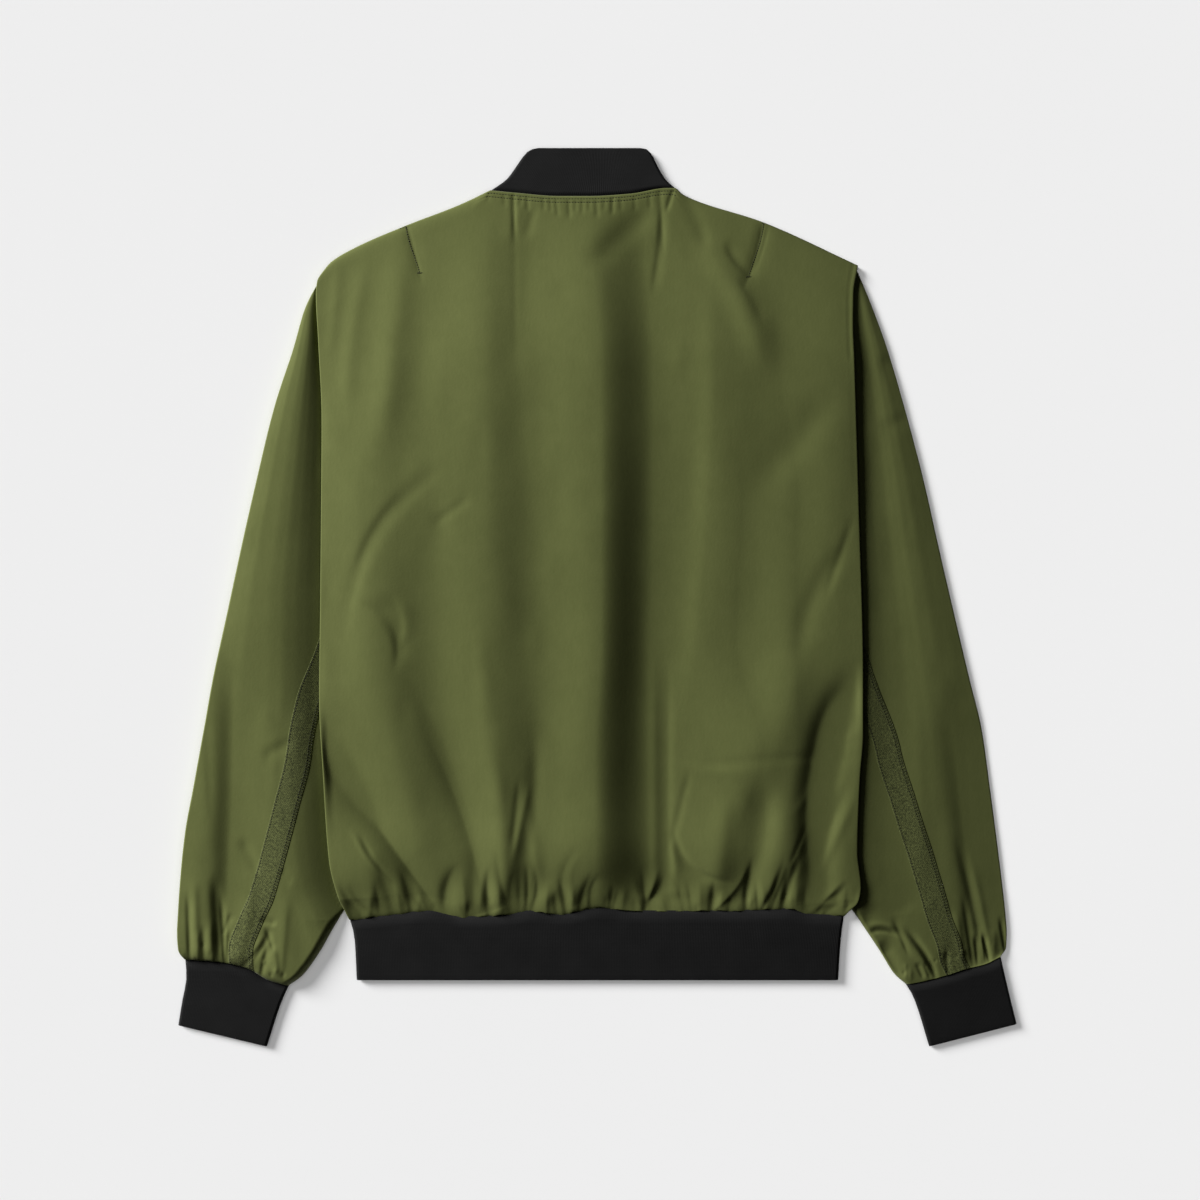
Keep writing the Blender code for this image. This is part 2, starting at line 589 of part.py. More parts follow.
def wall(name, place, across, along, thick, finish, turned=False, closed=False):
    """A cloth wall: a grid put in place by a function of two numbers, then thickened inwards."""
    across, along = np.asarray(across, float), np.asarray(along, float)
    columns, rows = len(across) - 1, len(along) - 1
    mesh = bmesh.new()
    bmesh.ops.create_grid(mesh, x_segments=columns, y_segments=rows, size=1)
    flat = (np.array([vert.co for vert in mesh.verts]) + 1) / 2
    column = np.rint(flat[:, 0] * columns).astype(int)
    row = np.rint(flat[:, 1] * rows).astype(int)
    for vert, point in zip(mesh.verts, place(across[column], along[row])):
        vert.co = point * MM
    if closed:
        bmesh.ops.remove_doubles(mesh, verts=mesh.verts, dist=1e-6)
    if turned:
        bmesh.ops.reverse_faces(mesh, faces=mesh.faces)
    bmesh.ops.triangulate(mesh, faces=mesh.faces, quad_method="SHORT_EDGE")
    made = add(name, mesh, finish)
    thicken = made.modifiers.new("wall", "SOLIDIFY")
    thicken.thickness = thick * MM
    thicken.offset = -1
    return made


def spaced(*stretches):
    """Places along one direction, from stretches of (start, end, steps)."""
    runs = [np.linspace(start, end, steps, endpoint=False) for start, end, steps in stretches]
    return np.concatenate([*runs, [stretches[-1][1]]])


def back_columns():
    """Shares across the back, close together where its sides are rounded."""
    edge = np.array([0, 0.9, 2.6, 5.6, 10]) / 450
    middle = spaced((0.036, NECK_FROM, 20), (NECK_FROM, NECK_TO, 24), (NECK_TO, 0.964, 20))
    return np.concatenate([edge, middle, 1 - edge[::-1]])


def build_body(satin):
    from_hem = np.array([0, 4, 9, 15, 23, 34, 50, 75, 115, 170, 240, 320, 400, 480])
    from_top = np.array([64, 32, 14, 5, 0])
    along = np.concatenate([from_hem, 598 - from_top]) / 598
    wall("back", back_point, back_columns(), along, CLOTH, satin)
    for side in ("left", "right"):
        left = side == "left"
        outline = SIDE_LEFT if left else SIDE_RIGHT
        point = front_point(
            outline,
            SHOULDER_LEFT if left else SHOULDER_RIGHT,
            NECKLINE_LEFT if left else NECKLINE_RIGHT,
            SLEEVE_LEFT if left else SLEEVE_RIGHT,
        )
        steps = spaced((0, 0.15, 2), (0.15, FRONT_NECK, 4), (FRONT_NECK, 1, NECKLINE_STEPS))
        rows = spaced((0, 0.06, 2), (0.06, 0.36, 3), (0.36, 0.6, 7), (0.6, 0.94, 4), (0.94, 1, 2))
        wall("front_" + side, point, steps, rows, CLOTH, satin, turned=left)


def build_sleeves(satin, twill):
    under = (-0.003, -0.015, -0.06, -0.35, -0.68, -1)
    around_top = (1, 0.9, 0.8, 0.68, 0.56, 0.44, 0.32, 0.22, 0.14, 0.08, 0.035, 0.01, 0, *under)
    around_under = (
        1, 0.9, 0.8, 0.72, 0.64, 0.56, 0.48, 0.4, 0.32, 0.24, 0.16, 0.08, 0.04, 0.01, 0, *under
    )
    rings = np.array(RINGS) / RINGS[-1]
    for side in ("left", "right"):
        left = side == "left"
        rows = SLEEVE_LEFT if left else SLEEVE_RIGHT
        height_at = sleeve_height(
            rows,
            SIDE_LEFT if left else SIDE_RIGHT,
            CUFF_SEAM_LEFT if left else CUFF_SEAM_RIGHT,
            SLEEVE_CREASES_LEFT if left else SLEEVE_CREASES_RIGHT,
            0.68 if left else 0.52,
        )
        layers = sleeve_layers(height_at)
        wall(
            "sleeve_top_" + side, sleeve_piece(rows, layers, 0),
            around_top, rings, CLOTH, satin, turned=not left,
        )
        wall(
            "sleeve_under_" + side, sleeve_piece(rows, layers, 1),
            around_under, rings, CLOTH, satin, turned=left,
        )
        length = np.array(TAPE_RINGS) / RINGS[-1]
        across = (-1, -0.5, 0, 0.5, 1)
        wall("tape_" + side, tape_point(rows, height_at), across, length, TAPE, twill, turned=left)


def build_knit(rib):
    half = BAND_WIDTH / 2
    to_left_end, to_right_end = half + ZIP_X - ZIP_EDGE, half - ZIP_X - ZIP_EDGE
    fold = np.array([0.6, 1.8, 3.2])
    under_left = np.concatenate([fold, spaced((21, to_left_end, 3))]) / BAND_WIDTH
    under_right = np.concatenate([fold, spaced((21, to_right_end, 3))]) / BAND_WIDTH
    around = np.concatenate([-under_left[::-1], back_columns(), 1 + under_right])
    wall("hem_band", band_point, around, (0, 0.5, 1), KNIT, rib, turned=True)

    fold = np.array([0, 0.6, 1.8, 3.2]) / COLLAR_RUN
    side = spaced((0, 1, NECKLINE_STEPS))[1:]
    first = np.concatenate([1 - side[::-1], 1 - fold[1:][::-1]])
    middle = 1 + np.concatenate([fold, spaced((0.08, 0.92, 12)), 1 - fold[::-1]])
    last = 2 + np.concatenate([fold[1:], side])
    wall("collar", collar_point, np.concatenate([first, middle, last]), spaced((0, 1, 3)), KNIT, rib)

    for side in ("left", "right"):
        left = side == "left"
        lines = (
            CUFF_SEAM_LEFT if left else CUFF_SEAM_RIGHT,
            CUFF_OUTER_LEFT if left else CUFF_OUTER_RIGHT,
            CUFF_INNER_LEFT if left else CUFF_INNER_RIGHT,
        )
        seam, outer, inner = ([(x, y - 2 * SEAM) for x, y in line] for line in lines)
        plan = patch(path(seam), path((outer[-1], inner[-1])), path(outer), path(inner))
        fold = np.array([0, 0.6, 1.6, 2.9]) / 88
        over = np.concatenate([fold, spaced((0.1, 0.9, 10)), 1 - fold[::-1]])
        around = np.concatenate([over, 1 + over[1:]])
        wall(
            "cuff_" + side, flat_tube(plan, CUFF_HEIGHT), around, (0, 0.5, 1), KNIT, rib,
            turned=left, closed=True,
        )


def zip_tape_point(out):
    """One side of the zip: s runs out from its teeth, t up the front."""

    def at(s, t):
        y = ZIP_BOTTOM + t * (ZIP_TOP - ZIP_BOTTOM)
        x = ZIP_X + out * (ZIP_TEETH + s * ZIP_TAPE_WIDTH)
        return np.column_stack([x, y, zip_rise(y) + ZIP_TAPE_LIFT + TAPE])

    return at


def block(name, origin, low, high, finish):
    """A box between two corners, which are given from its origin."""
    mesh = bmesh.new()
    bmesh.ops.create_cube(mesh, size=1)
    size, middle = np.subtract(high, low), np.add(high, low) / 2
    for vert in mesh.verts:
        vert.co = (np.array(vert.co) * size + middle) * MM
    made = add(name, mesh, finish)
    made.data.shade_flat()
    made.location = np.array(origin) * MM
    return made


def welded(name, origin, boxes, finish):
    """One solid from overlapping boxes."""
    whole = block(name, origin, *boxes[0], finish)
    for number, (low, high) in enumerate(boxes[1:]):
        other = block(f"{name}_helper_{number}", origin, low, high, finish)
        other.hide_render = True
        other.display_type = "WIRE"
        join = whole.modifiers.new("weld", "BOOLEAN")
        join.operation = "UNION"
        join.object = other
    return whole


def build_zip(weave, metal):
    for side, out in (("left", -1), ("right", 1)):
        rows = spaced((0, 0.08, 1), (0.08, 0.14, 3), (0.14, 0.94, 4), (0.94, 1, 3))
        wall("zip_tape_" + side, zip_tape_point(out), (0, 1), rows, TAPE, weave, turned=out < 0)
    tape_low = sum(ZIP_RISE) + ZIP_TAPE_LIFT
    plate, wing = 1.2, SLIDER_WIDTH / 2
    under, over = tape_low - SEAM, tape_low + TAPE + SEAM
    welded(
        "zip_slider",
        (ZIP_X, SLIDER_Y, 0),
        [
            ((-wing, -6, under - plate), (wing, 6, under)),
            ((-0.8, -5, under - 0.2), (0.8, 5, over + 0.2)),
            ((-wing, -6, over), (wing, 6, over + plate - 0.2)),
            ((-0.9, -4.4, 0.3), (0.9, -3.2, under - plate + 0.2)),
            ((-0.9, 1.2, 0.3), (0.9, 2.4, under - plate + 0.2)),
            ((-0.9, -4.2, 0.3), (0.9, 2.2, 0.8)),
        ],
        metal,
    )
    half = PULL_WIDTH / 2
    welded(
        "zip_pull",
        (ZIP_X, SLIDER_Y, PULL_PIN_Z),
        [
            ((-half, -0.5, -0.5), (half, 0.5, 0.5)),
            ((-half, -7, -0.5), (-1.5, 0.4, 0.5)),
            ((1.5, -7, -0.5), (half, 0.4, 0.5)),
            ((-half, -PULL_LENGTH, -0.5), (half, -6.5, 0.5)),
        ],
        metal,
    )


def main():
    for item in list(bpy.data.objects):
        bpy.data.objects.remove(item)
    satin = material("satin", SATIN)
    twill = material("twill", TWILL)
    build_body(satin)
    build_sleeves(satin, twill)
    build_knit(material("rib", RIB))
    build_zip(material("zip_weave", ZIP_WEAVE), material("gunmetal", GUNMETAL, 1.0))


main()
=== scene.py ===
"""Bomber jacket laid flat with its back up: its cloth, knit, sewing, zip, finishes and light.

The tables are in millimetres and Blender's units are metres. X runs across the jacket, Y from the
hem to the collar, and Z up from the surface that it lies on. Left and right are as seen from above
with the collar at the top.
"""

from collections import namedtuple

import bmesh
import bpy
import numpy as np
from mathutils import Matrix, Vector


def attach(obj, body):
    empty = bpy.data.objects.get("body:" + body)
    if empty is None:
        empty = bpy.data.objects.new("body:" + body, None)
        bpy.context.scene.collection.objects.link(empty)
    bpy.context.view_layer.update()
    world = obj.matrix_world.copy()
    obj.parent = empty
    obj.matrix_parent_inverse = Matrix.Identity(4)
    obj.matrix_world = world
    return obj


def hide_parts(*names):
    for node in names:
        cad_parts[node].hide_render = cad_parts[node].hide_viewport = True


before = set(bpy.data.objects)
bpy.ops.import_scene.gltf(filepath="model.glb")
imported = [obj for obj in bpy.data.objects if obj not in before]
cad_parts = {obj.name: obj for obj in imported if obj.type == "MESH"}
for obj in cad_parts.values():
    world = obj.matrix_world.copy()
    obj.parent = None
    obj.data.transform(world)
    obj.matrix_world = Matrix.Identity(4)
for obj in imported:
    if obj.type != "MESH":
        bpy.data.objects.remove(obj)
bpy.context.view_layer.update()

MM = 0.001

# Thickness of the walls, and the gap between two pieces at a seam
CLOTH = 0.5  # satin nylon of the back and sleeves
FRONT_CLOTH = 0.8
KNIT = 1.1
TAPE = 0.15
SEAM = 0.3

# Back: heights above the surface
SHOULDER_RIM = 5.2
NECK_RIM = 6.3
HEM_RIM = 6.9
ARMHOLE_RIM = (7.6, 9.8)  # left, right
SIDE_RIM = (8.6, 9.9)
HEM_SIDE_RISE = 3.0  # more height of the left edge towards the hem
HEM_SIDE_FROM = (-110.0, 70.0)  # y at which that begins, and over how far
SIDE_FOOT = 5.2  # to which the turned edge goes down, at the side, armhole and shoulder
ARMHOLE_FOOT = 3.0
SHOULDER_FOOT = 1.1
TOP_FOOT = (1.2, 4.0)  # the same along the shoulders, and how much higher at the neck
HEM_FOOT = 0.2  # above the hem band's knit
DOME_EDGE = 11.5
DOME_RISE = 1.5
OVER_FRONTS = 2.4  # the back's outer face over the fronts' outer face where they touch
OVER_ZIP = 1.2  # more over the zip's teeth

# Back: how its height changes across and along it
BACK_WIDTH = 450.0  # about, for steps across the back
BACK_LENGTH = 598.0
DOME_X, DOME_HALF = -10.0, 230.0
SIDE_SLOPE = 70.0  # over which the back comes down to either side
EDGE_ROUND, EDGE_DROP = 0.8, 0.3  # rounding of the very edge
EDGE_TUCK = 0.5  # how far the turned edge goes inwards
SHOULDER_ROUND = 16.0
NECK_TIGHTER = 0.6  # share by which the neck's edge is less round than that
NECK_FADE = 150.0  # below the top, over which the dome rises
DRAPE_FADE = 60.0  # below the top, over which the drape begins
TOP_SHARE = 0.1  # of either, that is there at the very top
DRAPE_FOOT = (-310.0, 60.0)  # y below which there is no drape, and over how far it begins
RELIEF = 1.35  # how much further the drape stands out than in its table
FOLD_RELIEF = 1.3
FOLD_MARGIN = (7.0, 4.0, 16.0)  # from the sides, top and hem, over which the folds begin
HEM_FOLD_SHARE = 0.5  # of their height, that is left at the hem's seam
FOLD_LEAD = 0.15  # a fold begins this share of its length before its first end
FOLD_TAIL = 0.45  # and fades over this share at its second
CRISP = 1.15  # power of the crisp folds' slope: 2 is a soft bell and 1 a crease
NECK_PUCKER_SHARE = 0.45
HEM_DIP, HEM_DIP_POWER = 54.0, 2.6  # the cloth's rise from the hem's seam
HEM_LIP, HEM_LIP_SHARE = 4.0, 0.08  # and its first, steep part
PUFF, PUFF_AT, PUFF_WIDTH = 3.4, 56.0, 34.0  # fullness above the hem
GATHER_LIMIT = 1.9  # height that the gathers near where they run together
PUCKER_LENGTH, PUCKER_LEAN = (5, 17), 0.5  # of the short tucks along the hem's seam
PUCKER_HALF, PUCKER_RISE = (1.2, 3.0), (0.2, 0.6)
PUCKER_RIDGE = 0.8  # height of a ridge among them, as a share of a trough's depth
HEM_OVERHANG = 0.8  # how far the hem's cloth laps over the knit
OVERHANG_RANGE = (0.2, 2.2)
OVERHANG_FADE = 9.0
OVERHANG_FOLLOW = 0.3  # how far it follows the height of the folds
HEM_TURN, TOP_TURN = -0.1, -0.5  # how far the turned edges go along Y
CLEARANCE_EASE = 0.5  # mm2, how softly the cloth is lifted where the fronts need room
NECK_END = 0.03  # share across over which the neck's seam gives way to the shoulder's
NECK_FURROW = (0.22, 0.9)  # depth and half width along each row of stitches
ARMHOLE_WELT = 3.4  # from the right armhole to the furrow beside it
WELT_FURROW = (0.3, 0.8)
WELT_FROM = (90.0, 30.0)  # y above which the furrow shows, and over how far it begins
UNDERARM_Y = 46.0
ARMHOLE_START = 30.0  # above the underarm, where the edge begins to change
ARMHOLE_RIM_RUN, ARMHOLE_FOOT_RUN = 60.0, 40.0  # over which its rim and its foot change
SHOULDER_FOOT_RUN = (2.0, 10.0)  # the same at the shoulder: start above it, and length
SHOULDER_Y = 268.0
HEM_CORNER_Y = -276.0
EDGE_STEPS = (-1.0, -0.5, 0, 0.25, 0.7, 1.4, 2.4, 3.7, 5.2, 7.0, 9.0)  # places across each side
FLAT_STEPS = (0.0245, 0.9755, 332)  # between them, as shares: from, to, steps
# Up from the hem: from, to, steps
HEM_STEPS = ((0, 6, 8), (6, 50, 40), (50, 110, 32), (110, 530, 124), (530, 590, 36), (590, 598, 9))
TURNED_ENDS = 0.7  # how far the grid goes on past the hem and the top

# Fronts
FRONT_LIFT = 5.15  # over the sleeves and their tapes
FRONT_CLEAR = 20.0  # how far past the sleeve's hidden fold a front stays raised
FRONT_SLOPE = 24.0
FRONT_HEM = (-264.0, 12.0, 0.5)  # y below which it comes down, over how far, and by what share
FRONT_INSET = ((40.0, 10.0), (280.0, 6.0), 0.5)  # beside the armhole: from, to, and more than a sleeve's
FRONT_NECK = 0.6  # share of a front's top at which the neckline begins
FRONT_SIDE_Y = (-276, -250, -220, -160, -100, -40, 20, 40, 50, 85, 130, 170, 203, 235, 264, 274)
FRONT_GAP_SHARE = 0.4  # of a seam's gap, between a front and the hem band
FRONT_SPAN = (20, 235)  # x between which its dents lie
FRONT_CREASE = 0.15  # the part of a dent that the flat underside leaves out
FRONT_MARGIN = (0.05, 0.12, 0.04, 0.05)  # shares from its side, zip, hem and top, clear of dents
HIDDEN_RINGS = 12  # of a sleeve, which may lie under the body

# Sleeves
SLEEVE_FLAT = 3.2  # height under the body
SLEEVE_ROUND = 1.2  # rounding of the outer fold, above and below
SLEEVE_UNDER = 5.0
SLEEVE_INNER_ROUND = 8.0
SLEEVE_FOLD_Z = 2.6  # height of a thin outer fold's middle
SLEEVE_FOLD_DROP = 1.2  # from a thick one's upper side to its middle
SLEEVE_WALLS = 1.4  # the least between the two layers' outer faces
VALLEY = 2.5  # over which a sleeve comes up beside the body
VALLEY_UNDER = 0.9  # of that, under the body's edge
ARMHOLE_INSET = 0.9
SLEEVE_SPAN = (225, 365)  # x between which its dents lie
SLEEVE_CREASE, SLEEVE_CREASE_MARGIN = 0.2, 15.0  # as the fronts', in mm from either fold
SLEEVE_MARGIN = 6.0  # over which its folds begin beside the body
SLEEVE_ENDS = (-100.0, 150.0)  # y below which the flank narrows, and over how far
FULLNESS = 28.0  # a sleeve this wide beside the body is nearly two thirds as full as its table
END_RINGS = 1.5  # over which a sleeve takes the line of its armhole or cuff
CUFF_DIP = 13.0  # over which the cloth comes down to the cuff
CUFF_STEP = 0.4  # from the cuff's knit up to the cloth
CUFF_PUCKERS = (26.0, 12.0)  # how far they reach from the cuff, and over how far they fade
LOWER_SEAM = 0.4  # share across the underside at which the hidden seam runs
SEAM_GAP = 0.1  # from the edge of the cloth to the middle of a seam
TAPE_WIDTH = 22.0
TAPE_FROM, TAPE_TO = 5.5, 15.0  # rings between which a tape runs
TAPE_LIFT = 0.2  # from a sleeve's outer face to its tape's
TAPE_PUFF, TAPE_PUFF_HALF = 0.12, 0.7  # between its rows of stitches
TAPE_EDGE, TAPE_RIPPLE_EDGE = 0.6, 3.0  # over which the puff and the ripples begin

# Zip
ZIP_X = -7.0
ZIP_BOTTOM, ZIP_TOP = -330.0, 258.0
ZIP_TAPE_WIDTH = 12.0
ZIP_TAPE = 0.7
ZIP_TAPE_LIFT = 1.8
ZIP_TEETH = 1.2  # from the zip's middle to each tape
ZIP_EDGE = 5.5  # and to each front
ZIP_RISE = (0.9, 1.5)  # height of the fronts there at the ends, and how much more between
ZIP_RISE_FROM, ZIP_RISE_TO = (-275.0, 25.0), (262.0, 12.0)  # y, and over how far
ZIP_CLEAR = 14.0  # half width of the raised strip
ZIP_SLOPE = 18.0
ZIP_ROOM_SLOPE = 10.0
SLIDER_Y = 236.0
SLIDER_ROOM = 8.0
TOOTH = (2.6, 1.1, 1.5)
TOOTH_OUT = 0.9
TOOTH_BEVEL = 0.2
TOOTH_PITCH = 2.5
TOOTH_ENDS = (3.0, 2.0)  # from the zip's ends to its first and last tooth

# Knit
BAND_HEIGHT = 6.4
BAND_WIDTH = 424.0
BAND_LENGTH = 58.0
COLLAR_HEIGHT = 6.2
COLLAR_RUN = 120.0  # length of the back of the collar
COLLAR_LENGTH = 40.0
COLLAR_END_Y = 308.0
COLLAR_SLANT = (0.3, 0.8)  # more height at its seam, and how far it comes down from there
CUFF_HEIGHT = 5.6
CUFF_WIDTH = 88.0
CUFF_LENGTH = 60.0
RIB_PITCH = 1.4
RIB_DEPTH = 0.15
RIB_POWER = 1.5  # wide ribs and narrow furrows
RIB_STEPS = 4  # columns for each rib
KNIT_EDGE = 1.6  # how far in a folded edge of the knit is rounded
KNIT_EDGE_SHARE = 0.62  # of its half height, that is left at the edge
KNIT_EDGE_STEPS = (1.6, 0.9, 0.35, 0)

# Outline of the body, from the hem up: x, y
SIDE_LEFT = (
    (-215, -279), (-225, -257), (-232, -228), (-237, -159), (-241, -89), (-240, 0),
    (-239, 154), (-242, 223), (-244, 264), (-243, 274), (-238, 283),
)
SIDE_RIGHT = (
    (214, -275), (226, -263), (228, -251), (225, -220), (227, -159), (230, -118),
    (230, -72), (226, 85), (223.5, 169), (222.5, 203), (221.5, 235), (222, 264), (226, 288),
)
SHOULDER_LEFT = ((-238, 283), (-231, 291), (-209, 304), (-165, 323), (-121, 340), (-93, 353))
SHOULDER_RIGHT = ((68, 355), (75, 349), (145, 325), (226, 288))
NECK = ((-93, 353), (-72, 351), (-33, 348), (-7, 348), (28, 350), (61, 355), (68, 355))
HEM = (
    (-215, -279), (-182, -275), (-148, -271), (-120, -276), (-76, -274), (-59, -271),
    (-33, -274), (2, -268), (31, -271), (107, -271), (163, -269), (187, -274), (214, -275),
)
TOP_LINE = (
    (-238, 283), (-165, 323), (-93, 348), (-33, 350), (28, 350), (68, 350), (145, 325), (226, 288),
)
NECKLINE_LEFT = ((-93, 353), (-89, 325), (-74, 295), (-48, 272), (ZIP_X - ZIP_EDGE, 264))
NECKLINE_RIGHT = ((68, 355), (62, 325), (50, 295), (30, 272), (ZIP_X + ZIP_EDGE, 264))

# Outline of the knit pieces: x, y
BAND_BOTTOM = ((-209, -332), (209, -332))
BAND_UNDER = ((-215, -279.3), (214, -275.3))
BAND_LEFT = ((-215, -279.3), (-211, -295), (-209, -332))
BAND_RIGHT = ((214, -275.3), (211, -300), (209, -332))
COLLAR_TOP = ((-57, 389), (-50, 390), (36, 390), (43, 389))
COLLAR_LEFT = ((-92.7, 353.3), (-79, 363), (-68, 378), (-62, 386), (-57, 389))
COLLAR_RIGHT = ((67.7, 355.3), (60, 362), (52, 375), (47, 385), (43, 389))
COLLAR_OPEN_LEFT = ((-57, 389), (-50, 352), (-36, 326))
COLLAR_OPEN_RIGHT = ((43, 389), (36, 352), (22, 326))
CUFF_SEAM_LEFT = ((-358, -314), (-330, -316), (-305, -321), (-285, -332), (-268, -337))
CUFF_SEAM_RIGHT = ((350, -311), (336, -318), (320, -322), (302, -328), (283, -333), (268, -336))
CUFF_OUTER_LEFT = ((-358, -314), (-357, -328), (-361, -352), (-364, -371))
CUFF_INNER_LEFT = ((-268, -337), (-274, -350), (-287, -389.4))
CUFF_OUTER_RIGHT = ((350, -311), (355, -333), (364, -370))
CUFF_INNER_RIGHT = ((268, -336), (274, -346), (288, -389.4))

# Sleeves, a row for each ring from the armhole to the cuff:
# outer fold x, y; inner fold x, y; share of the way across at which the taped seam runs
SLEEVE_LEFT = (
    (-243.0, 275, -239.0, 46, 0.985), (-253.5, 252, -239.3, 42, 0.985), (-264, 215, -239.6, 37, 0.985),
    (-280, 165, -239.6, 30, 0.985), (-295, 103, -237.6, 18, 0.985), (-309, 41, -220.6, -22, 0.9),
    (-321, -15, -185, -65, 0.64), (-333, -70, -160, -110, 0.48), (-341, -115, -158, -158, 0.45),
    (-350, -165, -174, -197, 0.46), (-357, -203, -196, -235, 0.484),
    (-361, -240, -221, -273, 0.507), (-363, -268, -230, -288, 0.48),
    (-364, -290, -242, -309, 0.46), (-363, -305, -257, -329, 0.51), (-358, -314, -268, -337, 0.544),
)
SLEEVE_RIGHT = (
    (225.5, 286, 226.5, 46, 0.985), (238, 254, 226.8, 42, 0.985), (252, 215, 227, 37, 0.985),
    (268, 160, 227, 30, 0.985), (283, 103, 225, 18, 0.985), (297, 41, 208, -22, 0.9),
    (310, -15, 173, -65, 0.642), (323, -70, 150, -110, 0.5), (334, -115, 149, -158, 0.443),
    (341, -165, 166, -197, 0.43), (346, -203, 190, -235, 0.436), (351, -243, 221, -271, 0.47),
    (354, -270, 234, -290, 0.478), (355.5, -290, 246, -308, 0.47), (355, -304, 258, -327, 0.485),
    (350, -311, 268, -336, 0.463),
)
# How far a sleeve's flank reaches from the body: share of what shows, at most, share less at the cuff
FLANK_LEFT = (0.6, 46.0, 0.15)
FLANK_RIGHT = (0.5, 56.0, 0.0)

# Height of each sleeve's upper side beside the body: place, height. The place runs from 0 at the
# body's edge to 1 where the flank ends, and to 2 at the outer fold
CROSS_LEFT = (
    (0, 3.3), (0.15, 5.4), (0.3, 7.4), (0.5, 9.6), (0.75, 11.4), (1, 12.0), (1.4, 11.9),
    (1.65, 11.3), (1.85, 10.6), (2, 10.0),
)
CROSS_RIGHT = (
    (0, 7.2), (0.2, 6.6), (0.45, 5.8), (0.75, 5.5), (1, 6.0), (1.2, 6.4), (1.4, 6.3), (1.7, 5.3),
    (2, 4.0),
)

# Shares across the back between which its neck lies
NECK_FROM, NECK_TO = 0.3222, 0.6667

# Drape of the back: a row for each ridge or hollow that runs down it, left to right.
# Its x at six heights, then how far it stands above the even dome at each
DRAPE_Y = (-211, -133, -37, 85, 207, 294)
DRAPE = (
    (-220, -228, -236, -236, -238, -240, 0.6, 1.0, 0.0, 0.0, 0.0, 0.0),
    (-160, -178, -201, -205, -185, -191, 0.6, 1.9, 1.7, 1.2, 0.5, 1.0),
    (-116, -130, -141, -146, -152, -138, -2.0, -0.9, -1.6, 0.2, -0.2, 0.2),
    (-84, -87, -97, -97, -97, -97, -0.6, 0.6, 0.3, 1.5, 2.0, 0.9),
    (-55, -50, -50, -55, -66, -59, -2.9, -2.2, -2.4, -0.8, 0.6, -0.4),
    (-2, -2, 3, 3, 2, -6, 0.2, 0.5, 0.2, 1.9, 3.4, 1.4),
    (46, 44, 46, 48, 48, 42, -7.6, -7.3, -7.6, -5.2, -2.2, -3.0),
    (119, 142, 119, 125, 100, 100, -2.7, -0.8, -4.6, -2.6, -1.0, -2.2),
    (160, 174, 172, 172, 156, 156, -1.2, 0.2, -1.8, -1.4, -1.3, -1.8),
    (212, 214, 214, 214, 212, 212, -1.0, -0.6, -0.8, 0.4, 0.2, -1.4),
)

